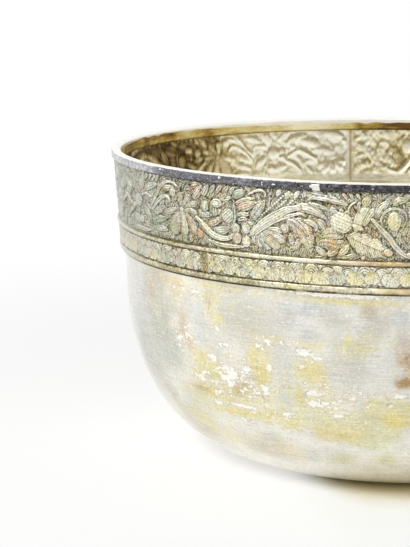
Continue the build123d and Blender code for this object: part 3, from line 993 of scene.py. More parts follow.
frieze.spray((-10.3, 88.4), [(-11.6, 90.3), (-10.2, 90.8), (-8.7, 90.3)], 0.9)
frieze.boss((-10.2, 86.8), (3.3, 3.1), tilt=-20.0, mark="grid", level=0.8, pale=0.5)
frieze.stem([(-7.5, 93.0), (-8.4, 92.2), (-8.9, 91.0), (-8.9, 89.4)], 0.35, pale=0.3)
frieze.score([(-8.0, 93.0), (-8.8, 92.2), (-9.2, 91.0), (-9.2, 89.6)], 0.22)
frieze.score([(-16.2, 92.5), (-14.0, 92.6), (-12.0, 92.6), (-10.4, 91.9)], 0.22)
frieze.score([(-13.4, 91.6), (-12.4, 92.2), (-11.6, 91.6)], 0.3)

# %% Pale petals and stippled pod
frieze.petal([(-7.6, 85.2), (-6.9, 88.0), (-5.6, 91.6)], 2.4, level=0.75, pale=0.55)
frieze.petal([(-6.2, 86.4), (-5.4, 88.8), (-4.4, 91.2)], 1.2, pale=0.3)
frieze.petal([(-7.2, 90.0), (-7.2, 91.6), (-7.0, 93.0)], 0.7, pale=0.1)
frieze.boss((-7.3, 85.6), (1.9, 0.8), tilt=-20.0, pale=0.3)
frieze.leaf([(-6.6, 91.6), (-5.8, 93.2), (-5.2, 95.2)], 1.3)
frieze.leaf([(-4.2, 88.6), (-3.4, 91.2), (-1.8, 93.6)], 1.3)
frieze.leaf([(-1.2, 92.2), (-0.2, 93.6), (1.4, 93.9)], 1.2)
frieze.leaf([(1.0, 91.6), (1.8, 92.6), (2.8, 92.4)], 1.0)
frieze.stem(
    [(-2.9, 85.7), (-3.3, 88.0), (-2.5, 90.5), (-0.8, 91.3), (0.7, 90.2), (1.1, 88.0)],
    0.5, level=0.42, pale=0.0,
)
frieze.boss((-1.0, 87.6), (1.9, 2.8), mark="stipple", level=0.75, pale=0.25)
frieze.stem(
    [(-4.8, 88.0), (-3.2, 85.2), (-1.8, 82.8), (-0.8, 80.4), (0.8, 78.0), (2.5, 77.0)], 0.9, pale=0.15
)
frieze.boss((-2.0, 78.6), (1.4, 1.1), tilt=-20.0)
frieze.score([(-2.6, 79.6), (-3.2, 78.8), (-2.8, 77.6), (-1.8, 77.2), (-1.0, 77.8)], 0.16)
frieze.score([(-0.9, 93.6), (-0.2, 92.2), (0.3, 90.6)])
frieze.score([(-4.3, 91.0), (-3.7, 92.0), (-3.0, 92.8)], 0.22)
frieze.score([(-8.3, 91.4), (-7.9, 90.8), (-7.7, 90.0)], 0.34)

# %% Right end, which runs on into the next quarter
frieze.leaf([(4.0, 86.6), (6.0, 84.0), (7.2, 80.4)], 2.2, lobes=5)
frieze.leaf([(9.0, 82.0), (10.4, 79.8), (11.6, 77.6)], 1.6, lobes=4)
frieze.leaf([(2.0, 90.4), (4.4, 92.4), (7.2, 93.8)], 1.6)
frieze.leaf([(6.4, 88.0), (8.0, 91.0), (10.8, 92.6)], 1.7, lobes=4)
frieze.stem([(1.6, 78.0), (4.0, 79.4), (6.4, 82.2), (8.2, 86.0), (10.8, 88.6), (13.4, 89.8)], 1.1)
frieze.boss((4.4, 88.4), (1.9, 1.9), mark="coil")
frieze.boss((3.4, 82.6), (1.5, 1.5), mark="coil")
END_LEAVES = 46
END_FROM, END_TO = 2.0, 11.5
END_LOW, END_HIGH = 77.5, 94.5
end_places = draw.uniform(END_FROM, END_TO, END_LEAVES)
for middle, level in zip(end_places, draw.uniform(END_LOW, END_HIGH, END_LEAVES)):
    across, rise = draw.uniform(-1.6, 1.6, 2)
    path = [(middle - across, level - rise), (middle, level + 0.4), (middle + across, level + rise)]
    frieze.leaf(path, 0.9, veins=True)
print("forms on one quarter", frieze.forms)

# %% [markdown]
# ## Softening a field
# The back of embossed sheet shows the same forms, only rounder and hollow. Blurring the height gives that
# back, and the difference between a blurred field and the field itself tells hollows from high points.

# %% Blur on the grid
def soften(field, spread):
    """Weighted mean of neighbours, weights exp(-(n / spread)^2), closed round the ring."""
    reach = int(np.ceil(2.0 * spread))
    offsets = np.arange(-reach, reach + 1)
    weights = np.exp(-((offsets / spread) ** 2))
    weights = weights / weights.sum()
    padded = np.pad(field, ((reach, reach), (0, 0)), mode="edge")
    rows = len(field)
    upward = sum(w * padded[reach + n : reach + n + rows] for n, w in zip(offsets, weights))
    return sum(w * np.roll(upward, n, axis=1) for n, w in zip(offsets, weights))


RIB_DEPTH = 0.05
FRONT_BLUR, BACK_BLUR, HIGH_BLUR, HOLLOW_BLUR = 0.55, 1.4, 1.8, 4.0
ribbed = RIB_DEPTH * np.cos(2.0 * np.pi * frieze.ribs)
frieze_relief = soften(frieze.relief - ribbed, FRONT_BLUR)
frieze_back = soften(frieze.relief, BACK_BLUR)
hollow = np.clip((soften(frieze.relief, HOLLOW_BLUR) - frieze_relief) * 1.4, 0.0, 1.0)
frieze_lines = np.clip(frieze.lines * 0.8 + hollow * 0.15, 0.0, 1.2)
# Painted highlight along the edges of the high points, partly rubbed wear.
frieze_highlight_and_wear = np.clip((frieze_relief - soften(frieze.relief, HIGH_BLUR)) * 3.2, 0.0, 1.0)
print(f"relief {frieze_relief.min():.2f} to {frieze_relief.max():.2f} mm")

# %% [markdown]
# ## Finish of the chased ring
# Tarnish has stayed dark in every tool line and thinned on the high points, whose edges carry a painted
# highlight, partly rubbed wear. The front of the ring is painted lighter and its left darker, painted light
# and shade, and on the left a painted reflection veils it in flat grey. The back of the sheet is gilt, with a
# painted reflection that runs from brown to cream round the ring and is lighter on raised parts. Lines and
# ribs are too fine for the mesh alone, so the points carry their measure and the finish draws them sharp.

# %% Chased silver with dark lines
CHASED_STOPS = [
    (0.0, shade(62, 56, 36)), (0.2, shade(117, 111, 84)), (0.42, shade(177, 174, 153)),
    (0.62, shade(210, 208, 191)), (0.8, shade(238, 237, 224)), (1.0, shade(254, 253, 248)),
]
YELLOW_FILM = shade(252, 247, 224)
# Grey of the painted reflection that veils the left of the ring.
GLARE_GREY = shade(198, 200, 190)
GILT_STOPS = [
    (0.0, shade(88, 70, 42)), (0.25, shade(146, 126, 82)), (0.5, shade(210, 195, 148)),
    (0.75, shade(250, 244, 214)), (1.0, shade(255, 252, 234)),
]
# Painted reflection on the gilt back: its level at each azimuth, from brown to cream.
GLEAM_AZIMUTHS = (
    -180.0, -169.0, -166.0, -152.0, -143.0, -132.0, -118.0, -100.0, -85.0,
    -60.0, -30.0, 0.0, 40.0, 80.0, 120.0, 150.0,
)
GLEAM_LEVELS = (
    0.68, 0.76, 1.6, 1.7, 1.15, 0.42, 0.2, 0.16, 0.3,
    0.45, 0.6, 0.5, 0.35, 0.5, 0.6, 0.45,
)
WHORLS = 15.0


def front_light_left_shade(azimuth):
    """Painted light and shade round the ring: 1 at the front, painted light, and below 0 on the left, painted
    shade.
    """
    return near_azimuth(azimuth, 0.0, 22.0) - 0.9 * near_azimuth(azimuth, -48.0, 15.0)


def gleam(azimuth):
    """Painted reflection on the gilt inside round the ring, from 0, brown, to 1 and over, cream."""
    return np.interp(azimuth, GLEAM_AZIMUTHS, GLEAM_LEVELS, period=360.0)


def chased_finish():
    """Silver whose tone follows height, tool lines, ribs and painted light and shade, under a film of
    coloured tarnish; gilt with a painted reflection behind.
    """
    f = Finish("chased_silver")
    clouds = f.noise((45.0, 45.0, 45.0), 4.0)
    specks = f.noise((1300.0, 1300.0, 1300.0), 3.0, 0.65)
    grime = f.noise((320.0, 320.0, 320.0), 4.0, 0.6)
    swirls = f.noise((170.0, 170.0, 170.0), 2.0, 0.5, 0.5)
    lines, haze, raised = f.attribute("lines"), f.attribute("haze"), f.attribute("raised")
    furrow = f.node("ShaderNodeMath", {"operation": "PINGPONG"}, {0: f.attribute("ribs"), 1: 0.5})
    furrow = f.between(furrow + (specks - 0.5) * 0.25, 0.2, 0.0)
    whorl = f.node("ShaderNodeMath", {"operation": "PINGPONG"}, {0: swirls * WHORLS, 1: 0.5})
    whorl = f.between(whorl + (specks - 0.5) * 0.3, 0.16, 0.0) * (1.0 - f.between(raised, 0.3, 0.6) * 0.6)
    # The bright attribute is a painted highlight, partly wear, and the pale one holds painted light at the
    # front and painted shade on the left.
    tone = 0.63 + (raised - 0.45) * 0.2 + f.attribute("bright") * 0.4 + f.attribute("pale") * 0.17
    tone = tone - lines * 0.38 - furrow * 0.28 - whorl * 0.26
    tone = tone + (specks - 0.5) * 1.1 + (grime - 0.5) * 0.5
    # On the left a painted reflection pulls the tone towards a flat grey.
    tone = tone + (0.56 - tone) * haze * 0.5
    yellow = f.between(grime + (clouds - 0.5) * 0.9, 0.4, 0.7) * (1.0 - haze)
    colour = f.stain(f.ramp(tone, CHASED_STOPS), YELLOW_FILM, yellow)
    colour = f.mix(colour, GLARE_GREY, haze * 0.4)
    hues = f.noise((300.0, 300.0, 300.0), 3.0, 0.6, output=1)
    colour = f.mix(colour, hues, (1.0 - haze * 0.6) * 0.24, "OVERLAY")
    lining = f.attribute("lining")
    shine = f.attribute("gleam") - lines * 0.15 + (clouds - 0.5) * 0.6 + (grime - 0.5) * 0.8
    colour = f.mix(colour, f.ramp(shine, GILT_STOPS), lining)
    film = f.attribute("patina", "Alpha") * f.between(grime, 0.3, 0.6) * (1.0 - lining * 0.6)
    colour = f.stain(colour, f.attribute("patina", "Color"), film)
    roughness = 0.36 + lines * 0.3 * (1.0 - lining) + (grime - 0.5) * 0.2 - lining * 0.04
    fine = specks * 0.4 + grime * (0.6 + lining * 3.0) - (furrow + whorl) * 1.1 * (1.0 - lining)
    return f.metal(colour, roughness, 0.5 + lining * 0.38, f.bump(fine, 0.06))


chased_silver = chased_finish()

# %% [markdown]
# ## The embossed ring
# The ring is one strip of sheet with a soldered seam at the back. It is made as four panels, so that each
# mesh stays a handy size. Outside they carry the frieze, inside its softened back. Towards the seam the
# forms die out, because the strip was joined plain. The rows under the beads, the border and the rim strip
# are hidden, so a few of them are enough.

# %% Rows of the ring's section
GROUND = -0.22
BACK_SHARE = 0.6
# Centre and width of the painted grey reflection on the left of the ring.
GLARE_CENTRE, GLARE_WIDTH = -80.0, 26.0
SEAM_AZIMUTH = -168.0
SEAM_WIDTH = 0.8
STRIP_SHEET = 0.9
SEAM_HALF = np.degrees(SEAM_WIDTH / 2.0 / (top_edge.max() + STRIP_SHEET))
SEAM_PLAIN = 2.5
BACK_FOOT = 76.5
CHASED_BACK_ROWS, PLAIN_BACK_ROWS = 36, 3
skirt_rows = np.array([band_low, band_low + 2.5, border_low + 3.0, bead_low, bead_low + 1.0])
rim_rows = np.array([strip_low + 1.1, band_high])
outer_rows = np.concatenate([skirt_rows, frieze_height, rim_rows])
chased_back = np.linspace(band_high, BACK_FOOT, CHASED_BACK_ROWS, endpoint=False)
back_rows = np.concatenate([chased_back, np.linspace(BACK_FOOT, band_low, PLAIN_BACK_ROWS)])
first_frieze, last_frieze = len(skirt_rows), len(skirt_rows) + FRIEZE_ROWS


def at_heights(field, heights):
    """Field of the frieze read at other heights, and nothing above or below it."""
    place = (heights - frieze_height[0]) / (frieze_height[-1] - frieze_height[0]) * (FRIEZE_ROWS - 1)
    lower = np.clip(np.floor(place).astype(int), 0, FRIEZE_ROWS - 2)
    share = np.clip(place - lower, 0.0, 1.0)[:, None]
    within = ((place >= 0) & (place <= FRIEZE_ROWS - 1))[:, None]
    return (field[lower] * (1.0 - share) + field[lower + 1] * share) * within


print(f"rows outside {len(outer_rows)}, inside {len(back_rows)}")

# %% [markdown]
# ## Colours of the tarnish
# Tarnish has tinted the ring here and there: rust, orange, olive and brown, and some blue. These films lie
# across leaves and grooves alike, so they are soft places on the ring rather than colours of the forms. Like
# the wear of the bowl they come again on each quarter, moved and fainter.

# %% Where the frieze is coloured
RUST = shade(242, 200, 184)
ORANGE = shade(238, 202, 152)
TEAL = shade(196, 216, 212)
SLATE = shade(212, 217, 222)
OLIVE = shade(230, 221, 170)
BROWN = shade(196, 172, 138)
# Each colour has its places: azimuth in degrees, height, half width in degrees, half height, strength.
PATINA_PLACES = {
    RUST: [
        (-38.9, 79.8, 1.4, 1.5, 1.0), (-40.8, 79.2, 1.0, 1.2, 0.7), (-28.6, 89.3, 2.4, 1.1, 1.0),
        (-30.4, 80.4, 0.9, 1.6, 0.8), (-11.8, 78.0, 1.8, 1.1, 0.7), (-5.0, 84.0, 1.1, 1.4, 0.8),
        (-17.2, 83.6, 2.6, 3.0, 0.5), (-41.8, 83.2, 0.9, 3.2, 0.6), (-33.6, 93.2, 1.0, 0.9, 0.7),
        (-1.6, 82.4, 2.4, 1.4, 0.5), (-39.6, 92.6, 1.6, 2.2, 0.5), (-66.0, 84.0, 3.0, 4.0, 0.4),
    ],
    ORANGE: [
        (-11.5, 80.4, 2.2, 1.6, 1.0), (-36.3, 84.1, 2.2, 0.9, 1.0), (-22.2, 80.3, 2.2, 1.6, 0.8),
        (-21.0, 84.2, 1.1, 1.3, 0.7), (-2.0, 78.6, 1.0, 0.9, 1.0), (-58.0, 91.0, 2.0, 2.0, 0.3),
    ],
    TEAL: [
        (-29.9, 93.0, 1.5, 1.4, 1.0), (-32.6, 93.8, 1.2, 1.2, 0.8), (-31.0, 86.4, 1.4, 3.6, 0.5),
        (-37.0, 87.0, 2.2, 1.8, 0.5), (-19.8, 81.6, 0.8, 1.6, 0.7), (-50.8, 82.0, 3.0, 3.0, 0.4),
    ],
    SLATE: [
        (-35.6, 94.2, 1.6, 1.2, 1.0), (-26.2, 88.0, 1.6, 2.4, 0.8), (-33.0, 82.2, 2.0, 1.4, 0.8),
        (-66.0, 86.0, 14.0, 14.0, 1.0), (-39.6, 88.6, 1.4, 1.8, 0.7),
    ],
    OLIVE: [
        (-5.8, 93.3, 1.1, 1.4, 1.0), (-46.8, 80.8, 2.0, 2.4, 0.8), (-12.2, 83.4, 3.0, 1.4, 0.6),
        (-1.0, 87.4, 2.0, 2.4, 0.7), (-43.6, 91.0, 2.4, 1.8, 0.6), (-22.0, 88.6, 3.4, 1.6, 0.5),
        (0.4, 93.2, 1.8, 1.4, 0.7), (-6.6, 85.6, 1.6, 0.9, 0.6), (-35.0, 78.0, 4.0, 1.0, 0.4),
    ],
    BROWN: [
        (-12.4, 91.8, 2.2, 0.9, 0.8), (-15.6, 88.4, 2.0, 1.2, 0.6), (-48.8, 91.2, 1.8, 0.9, 1.0),
        (-40.4, 83.4, 1.0, 1.2, 0.8), (-7.6, 90.2, 0.7, 0.9, 0.9), (-31.2, 92.2, 0.9, 1.4, 0.7),
    ],
}
print("places of patina", sum(len(places) for places in PATINA_PLACES.values()))

# %% [markdown]
# ## Four panels
# A panel takes its columns from the drawing, fades it out at both edges and at the seam, and moves the sheet
# in or out by it. The same fields then go along as attributes, so that the finish knows what lies where.

# %% Shape of one panel
top_fade = 1.0 - step(frieze_height, strip_low - 0.5, strip_low + 0.1)
frame_fade = (step(frieze_height, bead_high - 0.1, bead_high + 0.5) * top_fade)[:, None]
low_line = 0.6 * np.exp(-(((frieze_height - bead_high - 0.15) / 0.32) ** 2))
top_line = 0.8 * np.exp(-(((frieze_height - strip_low + 0.2) / 0.3) ** 2))
ring_height = np.concatenate([outer_rows, back_rows])[:, None]
outside, inside = slice(first_frieze, last_frieze), slice(len(outer_rows), None)


def panel_azimuths(number):
    """Columns of one quarter of the ring, a little shorter on the sides of the seam."""
    start, end = SEAM_AZIMUTH + QUARTER * number, SEAM_AZIMUTH + QUARTER * (number + 1)
    start = start + (SEAM_HALF if number == 0 else 0.0)
    end = end - (SEAM_HALF if number == 3 else 0.0)
    return np.linspace(start, end, PANEL_COLUMNS + 1)


def on_panel(field):
    """Field of the frieze with its first column once more at its end, so that panels meet."""
    return field[:, np.arange(PANEL_COLUMNS + 1) % PANEL_COLUMNS]


def panel_relief(alive):
    """Radius of a panel: the wall, with the ground sunk and the forms raised; and both reliefs alone."""
    front = on_panel(frieze_relief * frame_fade) * alive
    back = at_heights(on_panel(frieze_back * frame_fade), back_rows) * alive
    back = back * step(back_rows, BACK_FOOT + 0.5, BACK_FOOT + 2.5)[:, None]
    outward = np.zeros((len(outer_rows), PANEL_COLUMNS + 1))
    outward[outside] = GROUND * frame_fade + front
    ground = GROUND * at_heights(frame_fade + 0.0 * front, back_rows)
    inward = -sheet + BACK_SHARE * (0.5 * ground + back)
    radius = np.concatenate([wall(outer_rows[:, None], outward), wall(back_rows[:, None], inward)])
    return radius, front, back


# %% Make the four panels
def panel_fields(azimuth, alive, front, back):
    """What the finish needs to know at each point of a panel."""
    shape = (len(ring_height), PANEL_COLUMNS + 1)
    fields = {key: np.zeros(shape) for key in ("raised", "lines", "ribs", "bright", "pale", "lining")}
    lines = on_panel(frieze_lines) * (0.3 + 0.7 * alive) + (low_line + top_line)[:, None]
    fields["raised"][outside], fields["raised"][inside] = front, back
    fields["lines"][outside] = np.clip(lines, 0.0, 1.2)
    fields["lines"][inside] = at_heights(on_panel(soften(frieze_lines, 0.8)), back_rows) * alive
    fields["ribs"][:] = 0.5
    fields["ribs"][outside] = on_panel(frieze.ribs)
    fields["bright"][outside] = on_panel(frieze_highlight_and_wear) * alive
    # Pale forms, with painted light at the front and painted shade on the left.
    fields["pale"][outside] = on_panel(frieze.pale) * alive + 0.5 * front_light_left_shade(azimuth)
    fields["lining"][inside] = 1.0
    plain_foot = 1.0 - step(ring_height, BACK_FOOT, BACK_FOOT + 2.0)
    # Painted reflection on the gilt back, lighter on raised parts and on the plain rows at the foot.
    fields["gleam"] = gleam(azimuth) + 0.7 * (fields["raised"] - 0.3) + 0.8 * plain_foot
    # Painted grey reflection on the left of the ring.
    fields["haze"] = near_azimuth(azimuth, GLARE_CENTRE, GLARE_WIDTH)[None, :]
    fields["patina"] = coloured(azimuth, ring_height, PATINA_PLACES)
    return fields


for number in range(4):
    azimuth = panel_azimuths(number)
    from_seam = np.abs(turned(azimuth, SEAM_AZIMUTH)) * frieze.scale
    alive = step(from_seam, SEAM_PLAIN * 0.3, SEAM_PLAIN)
    radius, front, back = panel_relief(alive)
    make_ring(
        f"chased_ring_{number + 1}", radius, azimuth, ring_height, "floral_band", "chased_plate",
        chased_silver, False, **panel_fields(azimuth, alive, front, back),
    )

# %% [markdown]
# ## Leaf border
# Below the frieze runs a narrow strip stamped with one small motif again and again: a fan of ribs that
# opens downwards, a small crest above it, and arches of rings behind, at the joints between two fans. A
# formula in the distance from the motif's own points draws it, a little different each time, because the
# stamp was struck by hand.

# %% Formula of the border
MOTIFS = 116
BORDER_COLUMNS, BORDER_ROWS = 2900, 30
BORDER_SEAM = -37.5
FAN_CENTRE, FAN_RADIUS, FAN_ANGLE = 4.3, 3.8, 0.72
CREST_CENTRE, CREST_RADIUS, CREST_ANGLE = 3.6, 2.5, 0.6
COIL_CENTRE, COIL_RADIUS, COIL_PITCH = 3.4, 2.5, 0.62
border_proud = node_shape("leaf_border")[0].max() - wall(border_high)


def border_form(azimuth, up):
    """Relief, lines, count of ribs, paleness and yellowness of the stamped motif.

    x runs across one motif and y up the strip, in millimetres. From the middle of each motif a small crest
    opens upwards and a large fan downwards, and rings of a coil lie behind, about each joint between two
    motifs. A form is told by the distance inside its edge. Each strike is shifted, sized and tinted apart.
    """
    half_pitch = 180.0 / MOTIFS * frieze.scale
    place = azimuth * MOTIFS / 360.0
    number, joint = np.floor(place), np.floor(place + 0.5)
    draw = np.random.default_rng(23)
    middles = draw.uniform(-1.0, 1.0, (5, MOTIFS))[:, number.astype(int) % MOTIFS]
    joints = draw.uniform(-1.0, 1.0, (5, MOTIFS))[:, joint.astype(int) % MOTIFS]
    x, y = (place - number - 0.5) * 2.0 * half_pitch, up - border_low
    fan_x, fan_y = x + 0.4 * middles[0], FAN_CENTRE - y + 0.4 * middles[1]
    spread, turn = np.hypot(fan_x, fan_y), np.arctan2(fan_x, fan_y)
    fan_edge = FAN_RADIUS + 0.4 * middles[2] + 0.3 * np.abs(np.sin(turn * 5.4)) - spread
    fan_edge = fan_edge - 3.0 * np.clip(np.abs(turn) - FAN_ANGLE - 0.15 * middles[3], 0.0, 2.0)
    crest, lift = np.hypot(fan_x, y - CREST_CENTRE), np.arctan2(fan_x, y - CREST_CENTRE)
    crest_edge = CREST_RADIUS - crest - 3.0 * np.clip(np.abs(lift) - CREST_ANGLE, 0.0, 2.0)
    coil_x, coil_y = (place - joint) * 2.0 * half_pitch + 0.5 * joints[0], y - COIL_CENTRE - 0.5 * joints[1]
    coil = np.hypot(coil_x, coil_y * (0.9 + 0.15 * joints[4]))
    coil_edge = COIL_RADIUS + 0.4 * joints[2] - coil
    coil_count = coil / (COIL_PITCH + 0.1 * joints[3]) + 0.06 * np.arctan2(coil_y, coil_x)
    forms = [
        (crest_edge, 0.3 + 0.06 * crest, lift * 2.6 + 0.5, 0.3 * middles[3]),
        (coil_edge, 0.34 - 0.08 * np.cos(2.0 * np.pi * coil_count), coil_count, 0.4 * joints[4]),
        (fan_edge, 0.22 + 0.07 * np.clip(spread, 0.0, 3.4), turn * 3.4 + 0.5, 0.3 + 0.5 * middles[4]),
    ]
    flat = 0.0 * x * y
    relief, lines, ribs, pale = 0.2 + flat, 0.25 + flat, coil_count, flat
    for edge, height, count, light in forms:
        inside = step(edge, -0.12, 0.12)
        relief = relief * (1.0 - inside) + height * inside
        lines = lines * (1.0 - inside) + 0.85 * np.exp(-((edge / 0.15) ** 2))
        ribs = np.where(edge > 0.0, count, ribs)
        pale = pale * (1.0 - inside) + light * inside
    yellow = np.clip(0.8 * middles[4], 0.0, 1.0) * step(fan_edge, 0.0, 0.2)
    return relief, np.clip(lines, 0.0, 1.0), ribs, pale, yellow


border_azimuth = np.linspace(BORDER_SEAM + SEAM_HALF, BORDER_SEAM + 360.0 - SEAM_HALF, BORDER_COLUMNS)
border_up = np.linspace(border_low, border_high, BORDER_ROWS)
border_fields = border_form(border_azimuth[None, :] + 720.0, border_up[:, None])
border_relief, border_lines, border_ribs, border_pale, border_yellow = border_fields
print(f"{MOTIFS} motifs, relief {border_relief.min():.2f} to {border_relief.max():.2f}")

# %% Make the border
BORDER_FILM = shade(250, 238, 160)
SEAM_FILM = shade(238, 228, 196)
BORDER_GROUND = 0.1
BORDER_RISE = 1.6
BORDER_BACK = 3
plain = step(np.abs(turned(border_azimuth + 1.0, BORDER_SEAM)), 0.5, 1.2)
# Painted highlight along the edges of the stamped forms, partly rubbed wear.
border_highlight_and_wear = np.clip((border_relief - soften(border_relief, 1.6)) * 7.0, 0.0, 1.2) * plain
border_relief = soften(border_relief * plain, 0.6)
edge_fade = step(border_up, border_low, border_low + 0.5)
edge_fade = edge_fade * (1.0 - step(border_up, border_high - 0.4, border_high))
border_out = BORDER_GROUND + border_proud * border_relief * BORDER_RISE * edge_fade[:, None]
border_film = np.empty((BORDER_ROWS, BORDER_COLUMNS, 4))
border_film[..., :3] = np.where(plain[:, None] > 0.5, BORDER_FILM[:3], SEAM_FILM[:3])
border_film[..., 3] = border_yellow * plain + (1.0 - plain)
border_back = np.linspace(border_high, border_low, BORDER_BACK)
border_radius = [wall(border_up[:, None], border_out), wall(border_back[:, None], 0.0 * border_azimuth)]
# Painted grey reflection on the left, as on the ring.
border_glare = near_azimuth(border_azimuth, GLARE_CENTRE, GLARE_WIDTH)
fields = {
    "raised": border_relief * BORDER_RISE,
    "lines": border_lines * (0.3 + 0.7 * plain),
    "ribs": border_ribs,
    # Paleness of each strike, lower in the painted reflection on the left, with painted light at the front
    # and painted shade on the left.
    "pale": border_pale * plain - 0.25 - 0.8 * border_glare + 0.5 * front_light_left_shade(border_azimuth),
    "bright": border_highlight_and_wear,
    "patina": border_film,
}
fields = {key: np.pad(v, ((0, BORDER_BACK),) + ((0, 0),) * (v.ndim - 1)) for key, v in fields.items()}
make_ring(
    "leaf_border_strip", np.concatenate(border_radius), border_azimuth,
    np.concatenate([border_up, border_back])[:, None], "leaf_border", "chased_plate", chased_silver, False,
    haze=border_glare[None, :], gleam=NOWHERE, lining=NOWHERE, **fields,
)

# %% [markdown]
# ## Beads
# Two half-round wires cover the edges of the border. They were bent round by eye and rubbed for years, so
# they wander a little. Their crowns carry a painted highlight, partly rubbed wear, with painted light at the
# front, painted shade and a painted grey reflection on the left. They keep a dark line where they meet the
# sheet, which under the lower bead is painted shade.

# %% Finish of the beads
BEAD_STOPS = [
    (0.0, shade(88, 77, 46)), (0.25, shade(146, 137, 102)), (0.5, shade(195, 192, 166)),
    (0.75, shade(226, 224, 204)), (1.0, shade(252, 250, 240)),
]
ROSE_FILM = shade(252, 230, 216)
BROWN_FILM = shade(208, 170, 120)


def bead_finish():
    """Wire with a painted highlight on its crown, partly wear from rubbing: bright and dull stretches, rosy
    and yellow films, a painted grey reflection on the left, and brown crevices at its edges, painted shade
    under the lower bead.
    """
    f = Finish("highlit_worn_wire")
    stretches = f.noise((150.0, 150.0, 300.0), 5.0, 0.65)
    rosy = f.noise((60.0, 60.0, 8.0), 3.0)
    specks = f.noise((1300.0, 1300.0, 1300.0), 3.0, 0.65)
    lines, haze = f.attribute("lines"), f.attribute("haze")
    tone = 0.34 + f.attribute("crown") * 0.24 - lines * 0.5 + (stretches - 0.5) * 1.8 + (specks - 0.5) * 1.4
    # On the left a painted reflection pulls the tone towards a flat grey.
    tone = tone + (0.46 - tone) * haze * 0.6
    colour = f.mix(f.ramp(tone, BEAD_STOPS), GLARE_GREY, f.between(haze, 0.3, 1.0) * 0.75)
    blush = f.between(rosy + (stretches - 0.5) * 0.5, 0.5, 0.66)
    colour = f.stain(colour, ROSE_FILM, blush * (1.0 - haze) * 0.6)
    colour = f.stain(colour, YELLOW_FILM, f.between(rosy, 0.5, 0.36) * (1.0 - haze))
    colour = f.stain(colour, BROWN_FILM, f.attribute("brown") * f.between(specks, 0.35, 0.6))
    roughness = 0.38 + lines * 0.3 + (specks - 0.5) * 0.2
    return f.metal(colour, roughness, 0.5, f.bump(specks + stretches, 0.08))


highlit_worn_wire = bead_finish()

# %% Make the beads
RING_COLUMNS = 1440
BEAD_POINTS = 40
BEAD_WORN = 0.75
BEAD_FLANK, BEAD_SPRING = 0.1, 0.12
BEAD_WANDER, BEAD_DENT = 0.1, 0.09
ring_azimuth = np.arange(RING_COLUMNS) * 360.0 / RING_COLUMNS


def bead_section(low, high, crown_low, crown_high, proud):
    """Half oval of a wire on short flanks, closed by a straight back.

    Outward = spring + (proud - spring) * sin(t)^0.8, height = middle - half * cos(t).
    """
    turn = np.linspace(0.0, np.pi, 120)
    middle, half = (crown_low + crown_high) / 2.0, (crown_high - crown_low) / 2.0
    rise = BEAD_SPRING + (proud - BEAD_SPRING) * np.sin(turn) ** 0.8
    bulge = np.stack([rise, middle - half * np.cos(turn)], axis=-1)
    outline = np.concatenate([[[0.0, low], [BEAD_FLANK, low]], bulge, [[BEAD_FLANK, high], [0.0, high]]])
    return np.concatenate([evenly(outline, BEAD_POINTS), [[0.0, middle]]])


def make_bead(name, node, crown, seed, line_below, line_above, brown):
    """Bead carried round the axis; its crown wanders and is dented, and its crevices come and go."""
    low, high = node_levels(node)
    proud = BEAD_WORN * (node_shape(node)[0].max() - wall((low + high) / 2.0))
    section = bead_section(low, high, low + crown[0], high - crown[1], proud)
    outward, height = section[:, :1], section[:, 1:]
    share = np.clip(outward / proud, 0.0, 1.0)
    wander = BEAD_WANDER * ripple(ring_azimuth, 0.0, seed, 9, 0.0) * share
    dents = BEAD_DENT * ripple(ring_azimuth, height, seed + 1, 200, 1.5) * share
    below = (1.0 - step(height - low - crown[0], -0.1, 0.24)) * line_below
    above = (1.0 - step(high - crown[1] - height, 0.0, 0.24)) * line_above
    # The crown is drawn lighter: a painted highlight, partly rubbed wear, with painted light at the front and
    # painted shade on the left.
    make_ring(
        name, wall(height) + outward + dents, ring_azimuth, height + wander, node, "bead_wire", highlit_worn_wire,
        lines=np.clip(below + above, 0.0, 1.3), crown=share ** 3 + 0.8 * front_light_left_shade(ring_azimuth),
        brown=brown[None, :], haze=near_azimuth(ring_azimuth, GLARE_CENTRE, GLARE_WIDTH)[None, :],
    )


breaks = 0.2 * ripple(ring_azimuth, 0.0, 61, 60, 0.0)
front_brown = near_azimuth(ring_azimuth, -3.0, 6.0)
make_bead(
    "upper_bead_wire", "upper_bead", (0.25, 0.1), 31,
    0.5 + breaks, 0.55 - breaks + 0.5 * front_brown,
    front_brown + near_azimuth(ring_azimuth, 120.0, 14.0),
)
# Its line below, strongest near azimuth -40, is painted shade under the bead.
make_bead(
    "lower_bead_wire", "lower_bead", (0.5, 0.0), 37,
    0.7 + breaks + near_azimuth(ring_azimuth, -40.0, 13.0), 0.4 - breaks,
    0.8 * near_azimuth(ring_azimuth, 2.0, 5.0) + near_azimuth(ring_azimuth, 200.0, 12.0),
)

# %% [markdown]
# ## Rim
# A flat strip runs round the outside of the mouth, and a rounded lip covers its edge and the edge of the
# The strip has gone a dark bluish grey that is scuffed through to silver, more so on the left; the
# lip is polished by handling, and low on its inner leg the gilding is left, with a painted reflection that is
# brown in some stretches and cream in others.

# %% Finish of the rim
RIM_STOPS = [
    (0.0, shade(216, 217, 211)), (0.3, shade(182, 183, 186)),
    (0.6, shade(126, 125, 130)), (1.0, shade(66, 63, 64)),
]
RIM_PIT = shade(44, 40, 40)
LIP_BRIGHT = shade(250, 248, 240)
LIP_CREAM = shade(236, 230, 210)
LEG_STOPS = [
    (0.2, shade(114, 84, 40)), (0.4, shade(186, 156, 78)),
    (0.55, shade(224, 206, 136)), (0.8, shade(252, 244, 208)),
]


